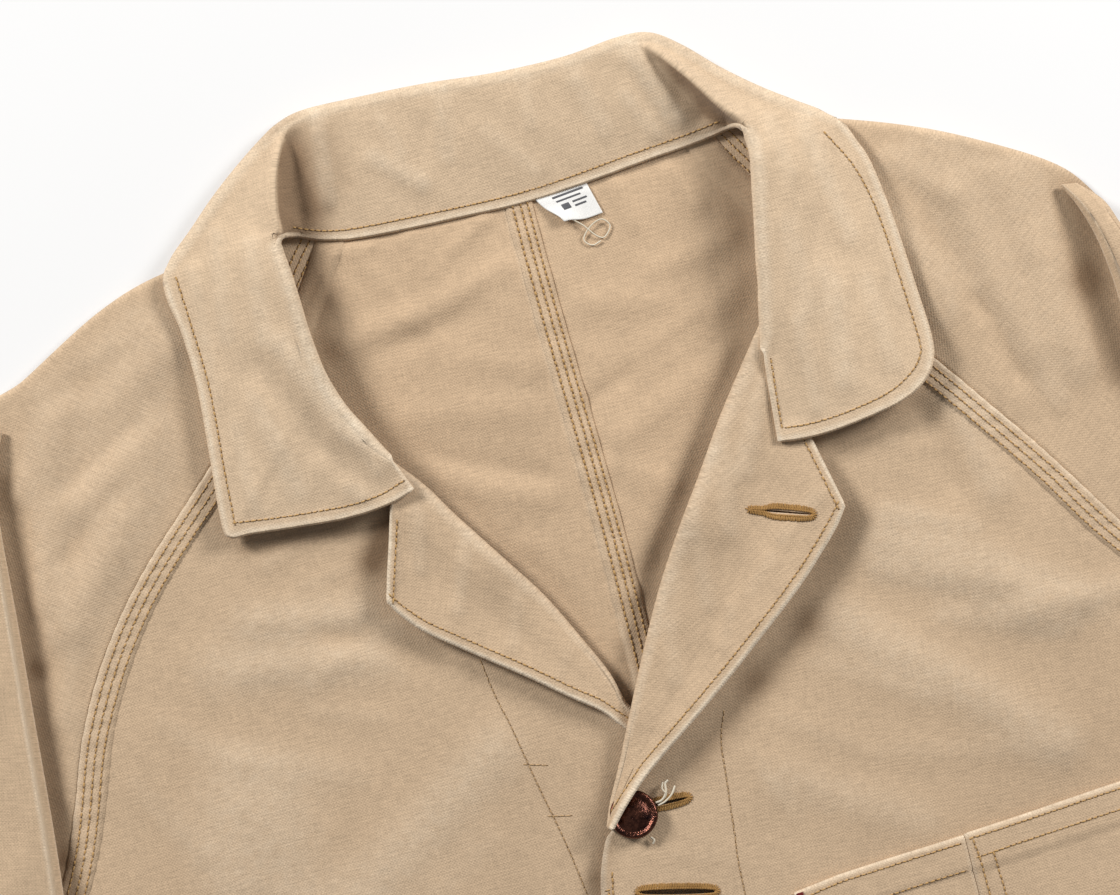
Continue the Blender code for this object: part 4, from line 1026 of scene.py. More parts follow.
# row of the table above, share of the way in at which the crest lies, the crest's height
CREST = [
    (11, 1.0, 15.4), (12, 0.96, 15.2), (13, 0.885, 15.4), (14, 0.766, 15.6), (15, 0.53, 15.0), (16, 0.17, 12.6),
    (17, 0.0, 8.2), (18, 0.0, 6.6), (23, 0.0, 6.8), (24, 0.05, 9.8), (25, 0.275, 13.6), (26, 0.70, 15.4),
    (27, 0.93, 15.4), (28, 1.0, 15.4),
]
STAND_ROWS = slice(18, 24)         # rows of the table where the collar only stands
STAND_CREST = 6.7                  # height of the crest along them
CREST_FALL = 15.0                  # greatest width over which the cloth drops inside the crest
CREST_PAINTED_SHADE = {"left": (0.75, 9.0), "right": (1.3, 6.5)}    # strength, reach of the painted shade inside the crest, where its shadow falls
PAINTED_SHADE_CHANGE = 20                  # row of the table at which the right side's painted shade begins
COLLAR_STEPS = 8                   # rows of points to each row of the table
SPREAD = np.linspace(0, 1, 29)[None, :]    # columns on each side of the crest
EDGE_POINTS = 9                    # points with which each edge turns down
# creases of the collar: start x, y, end x, y, half width, height
COLLAR_FOLDS = [
    (-66, 49, -70, 20, 3.5, 1.3), (-60, 46, -62, 24, 3.0, -0.6), (-78, 44, -81, 18, 5.0, -1.8),
    (-50, 30, -35, 17, 4.0, 1.0), (-44, 44, -40, 30, 3.5, 0.6), (-20, 46, -24, 24, 4.0, 0.7),
    (-8, 30, 6, 12, 3.5, 0.6), (10, 44, 8, 28, 3.5, 0.6), (28, 42, 34, 20, 4.0, 0.8),
    (50, 46, 60, 18, 4.0, 1.4), (59, 40, 70, 17, 4.0, -1.4), (44, 30, 52, 14, 3.5, 0.7),
    (-100, 10, -104, -24, 4.0, 0.8), (-112, 16, -117, -20, 4.0, 0.7), (-124, 6, -126, -40, 3.5, 0.6),
    (-108, -35, -90, -77, 5.0, -1.0), (-98, -28, -82, -64, 5.0, 1.1), (-112, -44, -106, -80, 5.0, 0.8),
    (-122, -52, -122, -84, 3.5, 0.6), (-94, -74, -84, -88, 4.0, 0.7), (-82, -62, -76, -80, 3.5, 0.6),
    (92, 8, 96, -24, 4.0, 0.6), (104, 4, 110, -40, 4.5, 0.9), (90, -30, 88, -62, 4.5, 0.7),
    (100, -50, 96, -90, 5.0, 0.9), (112, -56, 114, -88, 4.0, 0.7), (84, -66, 84, -96, 3.5, 0.7),
    (122, -30, 122, -66, 3.0, 0.5), (76, -66, 74, -98, 4.0, -0.9), (98, -20, 104, -48, 4.5, -0.6),
]


def turned_edge(edge, square, inward, z, drop, under):
    """Points from just inside an edge, over it, down and back beneath the cloth."""
    radius = drop / 2
    full = smooth(under / 3)
    curled = full ** 3
    parts = []
    for share in np.append(np.linspace(0, 1, EDGE_POINTS)[1:], 2.0):
        angle = math.pi * min(share, 1.0)
        flat = edge + square * radius * (1 - min(share, 1.0)) * 0.6
        turned = edge + square * radius * (1 - math.sin(angle))
        if share > 1.5:
            turned = turned + inward * under
            flat = edge - square * 0.05
        xy = flat * (1 - curled) + turned * curled
        parts.append(np.concatenate([xy, z - full * radius * (1 - math.cos(angle))], axis=1))
    return np.stack(parts, axis=1)


def edge_squares(rows, across):
    """Unit vectors at right angles to an edge, all on the one side that across points to."""
    run = np.gradient(rows, axis=0)
    square = unit(np.stack([-run[:, 1], run[:, 0]], axis=1))
    return square * np.sign(np.sum(square * across))


def soften(values, reach=13):
    """A row of numbers with its corners rounded off."""
    weights = np.hanning(reach + 2)[1:-1]
    padded = np.pad(values, reach // 2, mode="edge")
    return np.convolve(padded, weights / weights.sum(), mode="valid")


def collar():
    """The whole collar: outer edge, the crest where it folds over, then down to the neck seam."""
    last = len(COLLAR) - 1
    number = np.linspace(0, last, COLLAR_STEPS * last + 1)[:, None]
    rows = along(COLLAR, np.linspace(0, 1, len(number)))
    outer, inner = rows[:, 0:2], rows[:, 5:7]
    zo, drop_o, under_o, zi, drop_i, under_i = (rows[:, k:k + 1] for k in (2, 3, 4, 7, 8, 9))
    under_o, under_i = np.maximum(under_o, 0), np.maximum(under_i, 0)
    across = unit(inner - outer)
    outer_square, inner_square = edge_squares(outer, across), edge_squares(inner, -across)
    at_end = 1 - smooth(np.minimum(number, last - number) / 1.5)
    inner_square = unit(inner_square * (1 - at_end) - across * at_end)
    start, stop = outer + outer_square * drop_o / 2, inner + inner_square * drop_i / 2
    place, share, _ = zip(*CREST)
    share = soften(np.interp(number[:, 0], place, share))[:, None]
    pivot = np.clip(share, 0.06, 0.95)
    f = np.concatenate([pivot * SPREAD[:, :-1], pivot + (1 - pivot) * SPREAD], axis=1)
    flat = start[:, None] + (stop - start)[:, None] * f[..., None]
    x, y = flat[..., 0], flat[..., 1]
    fade = smooth(f * 6) * smooth((1 - f) * 6)
    crease = folds(COLLAR_FOLDS, x, y) + 0.14 * np.sin(0.24 * x + 0.17 * y)
    crease += 0.1 * np.sin(0.5 * x - 0.33 * y)
    tops = np.array([row[7] for row in COLLAR])
    tops[STAND_ROWS] = STAND_CREST
    for row, _, tall in CREST:
        tops[row] = tall
    height = soften(np.interp(number[:, 0], range(len(COLLAR)), tops))[:, None]
    height = zo + (height - zo) * smooth(share / 0.12)
    width = np.linalg.norm(stop - start, axis=1)[:, None]
    past = (f - share) * width
    room = np.clip((1 - share) * width, 4.0, CREST_FALL)
    fall = 1 - (1 - np.clip(past / room, 0, 1)) ** 2.4
    outside = zo + (height - zo) * np.minimum(1.0, f / np.maximum(share, 0.01)) ** 1.8
    z = outside * (1 - fall) + (zo + (zi - zo) * f ** 1.8) * fall + crease * fade
    top = lifted(flat, z)
    over = turned_edge(outer, outer_square, across, zo, drop_o, under_o)[:, ::-1]
    beneath = turned_edge(inner, inner_square, -across, z[:, -1:], drop_i, under_i)
    sheet = np.concatenate([over, top, beneath], axis=1)
    u, _ = measure(sheet)
    from_outer, from_inner = u - u[:, EDGE_POINTS - 1:EDGE_POINTS], u - u[:, -EDGE_POINTS:1 - EDGE_POINTS]
    free, seam = 1 - smooth(under_o / 2), 1 - smooth(under_i / 2)
    wear = 0.5 * np.exp(-(from_outer / 1.0) ** 2) * free
    wear += 0.4 * rim_wear(sheet, ["top", "bottom"], 1.0)
    wear += 0.5 * seam * np.exp(-(from_inner / 1.1) ** 2)
    wear += 0.35 * (1 - seam) * np.exp(-(from_inner / 3.0) ** 2)
    wear += 0.28 * (1 - free) * np.exp(-(from_outer / 2.5) ** 2)
    wear += 0.22 * np.clip(folds(COLLAR_FOLDS, sheet[..., 0], sheet[..., 1]), 0, 1)
    # painted shade: the cloth inside each crest and in the listed hollows is darkened where shadow falls
    deep = folds(PAINTED_SHADE_COLLAR, sheet[..., 0], sheet[..., 1])
    shade = np.where(number[..., None] < PAINTED_SHADE_CHANGE, CREST_PAINTED_SHADE["left"], CREST_PAINTED_SHADE["right"])
    crest_painted_shade = shade[..., 0] * np.exp(-np.clip(past, 0, None) / shade[..., 1]) * smooth(share * 1.8)
    between = slice(EDGE_POINTS, -EDGE_POINTS)
    deep[:, between] = (deep[:, between] + crest_painted_shade) * smooth(past / 1.2) * smooth((1 - share) * 40)
    shell("collar", sheet, TWO_PLY, "worn_twill", below=0.5, wear=np.clip(wear, 0, 1), deep=deep,
          grain=2.0)


collar()


# %% [markdown]
# ## Pockets
# A patch pocket lies on the front and copies its height, a little further out, so it follows the
# front's folds. The upper pocket is really two: a narrow pen pocket, and a chest pocket whose
# edge laps over it.

# %% Pockets
# name: x of its two sides, bottom y, cut corner, side, then the mouth's x, y
POCKETS = {
    "pen_pocket": ((33, 97.5), -405, 12, "right", [(33, -266), (50, -264), (68, -263), (98, -261.4)]),
    "chest_pocket": ((98.2, 172), -405, 12, "right",
                     [(98, -261), (120, -259.5), (150, -257), (172, -255.5)]),
    "hip_pocket_right": ((62, 236), -672, 16, "right", [(62, -478), (236, -478)]),
    "hip_pocket_left": ((-62, -236), -672, 16, "left", [(-236, -478), (-62, -478)]),
}
MOUTH_HEM, PEN_MOUTH_HEM = 14.0, 12.0
POCKET_SHARES = np.append(np.linspace(0, 0.3, 30, endpoint=False), np.linspace(0.3, 1, 40))[:, None]
POCKET_COLUMNS = 50


def pocket(name, x_range, bottom, corner, side, mouth):
    """A patch pocket, from its hemmed mouth down to a bottom with cut corners."""
    sign, f = SIDES[side], np.linspace(0, 1, POCKET_COLUMNS)[None, :]
    start, wide = x_range[0], x_range[1] - x_range[0]
    mouth_y = np.interp(start + wide * f, *zip(*mouth))
    y = mouth_y + (bottom - mouth_y) * POCKET_SHARES
    cut = np.maximum(0.0, corner - (y - bottom)) * 0.8
    x = start + sign * cut + (wide - 2 * sign * cut) * f
    belly = 0.5 * np.sin(math.pi * f) * np.sin(math.pi * np.minimum(POCKET_SHARES * 1.2, 1.0))
    sheet = np.stack([x, y, front_top(side, x, y) + PATCH_GAP + belly], axis=2)
    hem = PEN_MOUTH_HEM if name == "pen_pocket" else MOUTH_HEM
    raised = np.where(mouth_y - y < hem, BAND_RISE, 0.0)
    wear = 0.55 * rim_wear(sheet, ["top"], 1.0) + 0.3 * rim_wear(sheet, ["first", "last", "bottom"], 1.0)
    shell(name, sheet, PATCH + raised, "twill", mirrored=sign < 0, wear=np.clip(wear, 0, 1), grain=1.0)


for name, sizes in POCKETS.items():
    pocket(name, *sizes)


# %% [markdown]
# ## Laying things on the cloth
# Stitches, buttonholes and tacks are placed from above: a ray is dropped on the finished shell at
# each place, and gives back both the height and the way the cloth faces there.

# %% Dropping places onto a shell
TREES = {}
DROP_HEIGHT = 0.1      # in metres, above the whole jacket


def drop(name, xy):
    """Points and normals, in millimetres, where the places x, y land on the named shell."""
    if name not in TREES:
        mesh = SHELLS[name].data
        corners = [tuple(v.co) for v in mesh.vertices]
        TREES[name] = BVHTree.FromPolygons(corners, [tuple(p.vertices) for p in mesh.polygons])
    points, normals = [], []
    for x, y in xy:
        origin = Vector((x * MM, (y - MIDDLE_Y) * MM, DROP_HEIGHT))
        hit, normal, _, _ = TREES[name].ray_cast(origin, Vector((0, 0, -1)))
        if hit is not None:
            points.append((x, y, hit.z / MM))
            normals.append(tuple(normal if normal.z > 0 else -normal))
    return np.array(points), np.array(normals)


def beside(line, offset):
    """The line moved sideways, to its left if offset is positive."""
    line = np.asarray(line, float)
    run = unit(np.gradient(line, axis=0))
    return line + np.stack([-run[:, 1], run[:, 0]], axis=1) * offset


def spaced(line, step=1.0):
    """Places a step apart along a smooth curve through a short table."""
    line = np.asarray(line, float)
    length = np.linalg.norm(np.diff(line, axis=0), axis=1).sum()
    return even(line, max(3, int(length / step)))


# %% [markdown]
# ## Stitches by Geometry Nodes
# A seam is the same small loop of thread over and over, which is what Geometry Nodes do well.
# The tree turns each line into a curve, puts a point every few millimetres, and sets a rounded
# bar of thread on each point, turned along the seam and tilted with the cloth. A little chance
# in length and direction keeps it from looking printed.

# %% The stitch tree
STITCH_INPUTS = [("Geometry", "Geometry"), ("Pitch", "Float"), ("Length", "Float"), ("Width", "Float"),
                 ("Crosswise", "Float"), ("Thread", "Material"), ("Seed", "Int"), ("Holes", "Bool")]
HOLE_LENGTH, HOLE_HEIGHT = 0.0008, 0.0005          # of the dark dot of painted shade at a needle hole, in metres
# least and greatest turn about each axis, and least and greatest size along it, of a bar of thread
TURN_CHANCE = {0: (-0.03, -0.03, -0.13), 1: (0.03, 0.03, 0.13)}
SIZE_CHANCE = {0: (0.84, 0.82, 0.8), 1: (1.12, 1.14, 1.2)}


def stitch_tree():
    """Bars of thread along every line of a mesh, with dark dots of painted shade at the needle holes between them
    if asked.
    """
    tree = bpy.data.node_groups.new("stitches", "GeometryNodeTree")
    for name, kind in STITCH_INPUTS:
        tree.interface.new_socket(name, in_out="INPUT", socket_type=f"NodeSocket{kind}")
    tree.interface.new_socket("Geometry", in_out="OUTPUT", socket_type="NodeSocketGeometry")
    given = {socket.name: Wire(tree, socket) for socket in tree.nodes.new("NodeGroupInput").outputs}
    pitch, length, width, seed = (given[name] for name in ("Pitch", "Length", "Width", "Seed"))
    add = Wire(tree).node

    curve = add("GeometryNodeMeshToCurve", "Curve", {"Mesh": given["Geometry"]})
    points = add("GeometryNodeResampleCurve", "Curve", {"Curve": curve, "Length": pitch}, mode="LENGTH")

    tangent = add("GeometryNodeInputTangent", "Tangent", {})
    up = add("GeometryNodeInputNamedAttribute", "Attribute", {"Name": "up"}, data_type="FLOAT_VECTOR")
    side = add("ShaderNodeVectorMath", 0, {0: up, 1: tangent}, operation="CROSS_PRODUCT")
    way = add("ShaderNodeMix", 1, {0: given["Crosswise"], 4: tangent, 5: side}, data_type="VECTOR")
    turn = add("FunctionNodeAxesToRotation", "Rotation", {"Primary Axis": way, "Secondary Axis": up},
               primary_axis="X", secondary_axis="Z")
    chance, size = (add("FunctionNodeRandomValue", 0, {**limits, "Seed": seed}, data_type="FLOAT_VECTOR")
                    for limits in (TURN_CHANCE, SIZE_CHANCE))
    jitter = add("FunctionNodeRotateRotation", "Rotation", {"Rotation": turn, "Rotate By": chance},
                 rotation_space="LOCAL")

    bar = add("GeometryNodeMeshUVSphere", "Mesh", {"Segments": 6, "Rings": 4, "Radius": 0.5})
    lying = add("GeometryNodeTransform", "Geometry", {"Geometry": bar, "Rotation": (0, math.pi / 2, 0)})
    stretch = add("ShaderNodeCombineXYZ", "Vector", {"X": length, "Y": width, "Z": width})
    shaped = add("GeometryNodeTransform", "Geometry", {"Geometry": lying, "Scale": stretch})
    thread = add("GeometryNodeSetMaterial", "Geometry", {"Geometry": shaped, "Material": given["Thread"]})

    dot = add("GeometryNodeMeshUVSphere", "Mesh", {"Segments": 4, "Rings": 2, "Radius": 0.5})
    ahead = add("ShaderNodeCombineXYZ", "Vector", {"X": pitch * 0.5})
    dot_size = add("ShaderNodeCombineXYZ", "Vector", {"X": HOLE_LENGTH, "Y": width, "Z": HOLE_HEIGHT})
    moved = add("GeometryNodeTransform", "Geometry",
                {"Geometry": dot, "Scale": dot_size, "Translation": ahead})
    dark = add("GeometryNodeSetMaterial", "Geometry",
               {"Geometry": moved, "Material": LOOKS["needle_hole_shade"]})
    both = add("GeometryNodeJoinGeometry", "Geometry", {"Geometry": thread})
    tree.links.new(dark.socket, both.socket.node.inputs["Geometry"])
    choice = add("GeometryNodeSwitch", "Output",
                 {"Switch": given["Holes"], "False": thread, "True": both}, input_type="GEOMETRY")

    placed = add("GeometryNodeInstanceOnPoints", "Instances",
                 {"Points": points, "Instance": choice, "Rotation": jitter, "Scale": size})
    real = add("GeometryNodeRealizeInstances", "Geometry", {"Geometry": placed})
    soft = add("GeometryNodeSetShadeSmooth", "Geometry", {"Geometry": real})
    tree.links.new(soft.socket, tree.nodes.new("NodeGroupOutput").inputs["Geometry"])
    return tree


STITCHES = stitch_tree()
SEWN = []
LONGEST_JUMP = 4.0                 # a row of stitches breaks where its places lie further apart


def sew(name, onto, lines, look="ochre", pitch=2.2, length=1.75, width=0.66, height=0.08, crosswise=0.0):
    """Rows of stitches on a shell, one row for each line of places x, y."""
    points, ups, edges = [], [], []
    for line in lines:
        land, up = drop(onto, line)
        if len(land) < 2:
            continue
        first = len(points)
        points += list(land + up * height)
        ups += list(up)
        joined = np.linalg.norm(np.diff(land, axis=0), axis=1) < LONGEST_JUMP
        edges += [(first + k, first + k + 1) for k in np.flatnonzero(joined).tolist()]
    world = (np.array(points) - (0.0, MIDDLE_Y, 0.0)) * MM
    mesh = bpy.data.meshes.new(name)
    mesh.from_pydata(world.tolist(), edges, [])
    mesh.attributes.new("up", "FLOAT_VECTOR", "POINT").data.foreach_set("vector", np.array(ups).ravel())
    guide = bpy.data.objects.new(name, mesh)
    bpy.context.scene.collection.objects.link(guide)
    modifier = guide.modifiers.new("stitches", "NODES")
    modifier.node_group = STITCHES
    sockets = {item.name: item.identifier for item in STITCHES.interface.items_tree
               if item.in_out == "INPUT"}
    values = {"Pitch": pitch * MM, "Length": length * MM, "Width": width * MM, "Crosswise": crosswise,
              "Thread": LOOKS[look], "Seed": len(SEWN) + 3, "Holes": crosswise == 0.0}
    for key, value in values.items():
        modifier[sockets[key]] = value
    depsgraph = bpy.context.evaluated_depsgraph_get()
    baked = bpy.data.meshes.new_from_object(guide.evaluated_get(depsgraph))
    guide.modifiers.clear()
    guide.data = baked
    SEWN.append(guide)
    print(f"{name}: {len(baked.polygons)} faces of thread")


# %% [markdown]
# ## Where the seams run
# The tables below are the rows of stitching. Triple rows hold the felled seams at the centre back
# and along the raglan sleeves, and single rows hold the edges of collar, lapels and facings.

# %% Seam rows
FRONT_ROWS = (2.4, 5.4, 8.4)       # distances of the three rows from a front's raglan seam
CENTRE_ROWS = (1.4, 4.0, 7.0)      # the same from the centre back seam
NECK_ROWS = (1.6, 4.4, 7.2)        # the same from the back's raglan seam
HEM_ROW = 25.5                     # height of the hem's row over its lower edge
HEM_ENDS = {"right": (-36, 270), "left": (-270, 16)}

centre = np.array([(float(centre_back(y)), y) for y in np.linspace(1.0, -300, 101)])
sew("stitches_centre_back", "back_left", [centre - (offset, 0) for offset in CENTRE_ROWS], width=0.85)

for side, sign in SIDES.items():
    raglan, neck = even(RAGLAN_FRONT[side], 330), even(RAGLAN_BACK[side], 340)[:60]
    front_rows = [beside(raglan, -sign * offset) for offset in FRONT_ROWS]
    sew(f"stitches_raglan_front_{side}", f"front_{side}", front_rows)
    neck_rows = [beside(neck, sign * offset) for offset in NECK_ROWS]
    sew(f"stitches_raglan_back_{side}", f"sleeve_cap_{side}", neck_rows)
    hem = [(x, HEM_Y + HEM_ROW) for x in np.linspace(*HEM_ENDS[side], 300)]
    sew(f"stitches_hem_{side}", f"front_{side}", [hem])
    end, before = along(ARM[side], [1.0, ARM_HEM])
    cuff = np.linspace(before[0:2], before[2:4], 120)[4:-4] + (end[0:2] - before[0:2]) * 0.12
    sew(f"stitches_cuff_{side}", f"sleeve_arm_{side}", [cuff])


COLLAR_EDGES = [
    [(-129.8, 5), (-128.6, -14), (-127.8, -34), (-128.6, -50), (-129.8, -66), (-130.8, -85.6)],
    [(-130.8, -86), (-115, -88), (-100, -89.4), (-88, -90), (-77, -89), (-68.5, -86.5)],
    [(111, -1.5), (117.5, -14), (121, -26), (123, -40), (124.4, -60), (125.4, -80), (124.4, -88),
     (118, -94.4), (108, -98.8), (92, -101.6), (80, -102.2), (72, -101.6)],
    [(69.6, -100.6), (70.4, -90), (71.6, -77)],
    [(-84, 12.8), (-78, 10.4), (-70, 8.2), (-60, 7.0), (-40, 6.0), (-20, 5.2), (0, 5.0), (20, 6.4),
     (40, 8.6), (60, 10.4), (74, 12.2)],
]
sew("stitches_collar", "collar", [spaced(rows) for rows in COLLAR_EDGES])


def lapel_line(side, start, stop, inset):
    """Row inside a lapel's outer edge."""
    rows = along(LAPEL[side], np.linspace(start, stop, 160))
    edge, middle = rows[:, 4:6], rows[:, 2:4]
    return edge + unit(middle - edge) * inset


def gorge_line(side, inset):
    """Row inside the short top edge of a lapel, from the collar to its tip."""
    top, below = along(LAPEL[side], [0.0, 0.12])
    line = np.linspace(top[2:4] + (top[4:6] - top[2:4]) * 0.1, top[4:6], 40)
    away = unit((below[4:6] - top[4:6])[None])[0]
    return (line + away * inset)[:-3]


for side in SIDES:
    sew(f"stitches_lapel_{side}", f"lapel_{side}",
        [lapel_line(side, 0.03, 0.93, 3.4), gorge_line(side, 3.2)])

FACING_ROWS = {
    "right": [[(24, -196), (20.5, -206), (19, -220), (17, -240), (15.5, -258), (14, -330), (13, -480),
               (12, -722)]],
    "left": [[(-57, -157), (-55, -170), (-52, -183), (-48, -205), (-43, -230), (-39.5, -258), (-38, -300)],
             [(-50.5, -197), (-44, -199)], [(-46.5, -217.5), (-40, -219)]],
}
for side, rows in FACING_ROWS.items():
    sew(f"stitches_facing_{side}", f"front_{side}", [spaced(row) for row in rows],
        look="faded_ochre", width=0.45)
sew("stitches_placket", "front_right", [spaced([(-29.6, -243), (-31.6, -256), (-33, -292), (-33, -722)])])

POCKET_ROWS = {
    "pen_pocket": [[(34.5, -268.4), (50, -266.2), (68, -265.2), (94.5, -263.6)],
                   [(35, -279), (66, -275.4), (94, -273.6)],
                   [(35.5, -282), (36, -402)], [(36, -402), (96, -402)]],
    "chest_pocket": [[(100, -262.6), (120, -261.2), (150, -258.8), (170, -257.4)],
                     [(101, -269.8), (120, -268.2), (150, -266.0), (170, -264.6)],
                     [(100.6, -264), (101.6, -285), (102, -402)], [(106.6, -270), (107.6, -300), (108, -402)],
                     [(170, -258), (170, -402)], [(102, -402), (170, -402)]],
    "hip_pocket_right": [[(65, -481), (65, -655)], [(65, -655), (80, -669)], [(80, -669), (218, -669)],
                         [(218, -669), (233, -655)], [(233, -655), (233, -481)], [(65, -491), (233, -491)]],
}
POCKET_ROWS["hip_pocket_left"] = [[(-x, y) for x, y in row] for row in POCKET_ROWS["hip_pocket_right"]]
for name, rows in POCKET_ROWS.items():
    sew(f"stitches_{name}", name, [spaced(row) for row in rows])


# %% [markdown]
# ## Buttonholes
# A worked buttonhole is a slit with thread wound over both lips. The winding is the stitch tree
# again, this time with its bars laid crosswise and close together.

# %% Buttonholes
# name: shell, one end x, y, other end x, y, room between the rows of twist, how far the slit gapes
HOLES = {
    "lapel": ("lapel_right", (50.5, -126.8), (73.2, -134.4), 2.0, 0.6),
    "top": ("front_right", (-14, -222.4), (4.6, -222.8), 1.3, 1.3),
    "second": ("front_right", (-22.5, -251.6), (6, -258.2), 2.2, 2.2),
    "third": ("front_right", (-24, -350), (3, -350), 0.8, 0.8),
    "fourth": ("front_right", (-24, -450), (3, -450), 0.8, 0.8),
    "fifth": ("front_right", (-24, -550), (3, -550), 0.8, 0.8),
}
CUT_HEIGHTS = (1.0, 30.0)


def oval(start, stop, half, tail=0.0, count=90):
    """Closed row of places round a slit, narrower by the share tail at its start."""
    start, stop = np.array(start, float), np.array(stop, float)
    middle, reach = (start + stop) / 2, (stop - start) / 2
    side = unit(np.array([[-reach[1], reach[0]]]))[0]
    angles = np.linspace(0, 2 * math.pi, count)
    width = np.sign(np.sin(angles)) * np.abs(np.sin(angles)) ** 0.55 * half
    width = width * (1 - tail * smooth((-0.15 - np.cos(angles)) / 0.5))
    return middle + np.cos(angles)[:, None] * reach + width[:, None] * side


def slit(onto, start, stop, gape):
    """Cuts a slit of that width through a shell."""
    ring = oval(start, stop, gape / 2, 0.0, 41)[:-1]
    points = [(x, y, z) for z in CUT_HEIGHTS for x, y in ring]
    n = len(ring)
    faces = [tuple(range(n))[::-1], tuple(range(n, 2 * n))]
    faces += belt(0, 2, n)
    plain = np.zeros(2 * n)
    cutter = build_mesh("cutter", points, faces, "twill", np.zeros((2 * n, 2)), wear=plain, deep=plain)
    cloth = SHELLS[onto]
    cut = cloth.modifiers.new("slit", "BOOLEAN")
    cut.operation, cut.object, cut.solver = "DIFFERENCE", cutter, "EXACT"
    depsgraph = bpy.context.evaluated_depsgraph_get()
    opened = bpy.data.meshes.new_from_object(cloth.evaluated_get(depsgraph))
    cloth.modifiers.clear()
    cloth.data = opened
    bpy.data.objects.remove(cutter)


TWIST = {"look": "hole_twist", "pitch": 0.6, "crosswise": 1.0}
LAPEL_TAIL = 0.62      # how much narrower the lapel's hole is at its inner end
for name, (onto, start, stop, room, _) in HOLES.items():
    tail = LAPEL_TAIL if name == "lapel" else 0.0
    winding, lip = (oval(start, stop, room / 2 + out, tail) for out in (1.1, 0.2))
    sew(f"buttonhole_{name}", onto, [winding], length=2.4, width=0.66, height=0.25, **TWIST)
    sew(f"buttonhole_lip_{name}", onto, [lip], length=0.9, width=0.6, height=0.4, **TWIST)
for onto, start, stop, _, gape in HOLES.values():
    slit(onto, start, stop, gape)


# %% [markdown]
# ## Buttons
# A pressed metal button is a profile spun round its axis: a rolled ring round the rim, a hollow
# beside it and a dome in the middle. The top one leans, because the lapel holds it down.

# %% Buttons
# radius, height of the button's profile from the middle of its under side to the top of its dome
BUTTON_PROFILE = [
    (0.0, 0.0), (5.8, 0.0), (7.6, 0.5), (8.5, 1.2), (8.8, 2.0), (8.6, 2.8), (8.1, 3.25), (7.5, 3.3),
    (7.0, 3.05), (6.6, 2.75), (6.1, 2.75), (5.4, 3.1), (4.4, 3.65), (3.2, 4.05), (1.8, 4.32), (0.0, 4.4),
]
# x, y, lean in degrees, direction it leans towards in degrees, height over the front
BUTTONS = [(-16.5, -224, 9, 128, 0.3), (-17.5, -350, 2, 10, 0.4), (-18, -450, 2, 200, 0.4),
           (-18, -550, 2, 90, 0.4)]
BUTTON_SIDES = 72
MARKED_LEAN = 5        # a button that leans more than this presses its low edge into the cloth
PRESSED_REACH = 6.5    # distance from its middle to where it touches the cloth
LEAST_HEIGHT = 0.3     # of its middle over the front


def button(number, x, y, lean, towards, gap):
    """One button: its profile spun round, leaned over and set on the right front."""
    angles = np.linspace(0, 2 * math.pi, BUTTON_SIDES, endpoint=False)
    points = [(0, 0, BUTTON_PROFILE[0][1])]
    for radius, height in BUTTON_PROFILE[1:-1]:
        beat = radius * (1 + 0.006 * np.sin(5 * angles + radius))
        points += list(zip(beat * np.cos(angles), beat * np.sin(angles), [height] * BUTTON_SIDES))
    points.append((0, 0, BUTTON_PROFILE[-1][1]))
    points = np.array(points)
    a, d = math.radians(lean), math.radians(towards)
    low = np.array([math.cos(d), math.sin(d), 0])
    along_low = points @ low
    rest = points - along_low[:, None] * low
    tilted = rest + (along_low * math.cos(a) + points[:, 2] * math.sin(a))[:, None] * low
    tilted[:, 2] = points[:, 2] * math.cos(a) - along_low * math.sin(a)
    cloth = float(front_top("right", x, y))
    base = cloth + gap - tilted[:, 2].min()
    if lean > MARKED_LEAN:
        base = max(base - PRESSED_REACH * math.sin(a), cloth + LEAST_HEIGHT)
    tilted += (x, y, base)
    rings = len(BUTTON_PROFILE) - 2
    last = 1 + (rings - 1) * BUTTON_SIDES
    faces = [(0, 1 + (k + 1) % BUTTON_SIDES, 1 + k) for k in range(BUTTON_SIDES)]
    faces += belt(1, rings, BUTTON_SIDES)
    faces += [(last + k, last + (k + 1) % BUTTON_SIDES, len(points) - 1) for k in range(BUTTON_SIDES)]
    return build_mesh(f"button_{number}_metal", tilted, faces, "copper_button")


buttons = [button(number, *sizes) for number, sizes in enumerate(BUTTONS, 1)]


# %% [markdown]
# ## Label, tack and loose threads
# The label is a small woven tag caught in the neck seam, with one corner curled up. Its printing
# is left plain. The loose threads are thin tubes swept along listed curves.

# %% Label and threads
LABEL_CORNERS = [(3, 2.2), (22.5, 4.2), (26, -9.2), (9.5, -11.5)]
LABEL_THICK = 0.35
CURL = (2.2, 2.4)      # how far the lower left corner is turned in, x, y
# grey bars on the label, as shares of its width and height: left, top, width, height
BARS = [(0.28, 0.16, 0.62, 0.055), (0.30, 0.29, 0.5, 0.045), (0.34, 0.42, 0.16, 0.16), (0.58, 0.42, 0.3, 0.05),
        (0.58, 0.54, 0.24, 0.05)]


def on_label(u, v):
    """Places x, y on the flat label, u across it and v down it, both from 0 to 1."""
    top_left, top_right, low_right, low_left = (np.array(corner, float) for corner in LABEL_CORNERS)
    u, v = u[..., None], v[..., None]
    return (top_left * (1 - u) + top_right * u) * (1 - v) + (low_left * (1 - u) + low_right * u) * v


def size_label():
    """The label, lying on the back with one corner curled up."""
    u, v = np.meshgrid(np.linspace(0, 1, 44), np.linspace(0, 1, 34))
    corner = np.exp(-((u / 0.42) ** 2 + ((1 - v) / 0.5) ** 2))
    xy = on_label(u, v) + corner[..., None] * np.array(CURL)
    wave = 0.22 * np.sin(u * 7 + v * 2) * v
    z = CLOTH + back_rise(xy[..., 0], xy[..., 1]) + 0.55 + 2.3 * corner ** 1.3 + np.abs(wave)
    shell("size_label", lifted(xy, z), LABEL_THICK, "white_label")


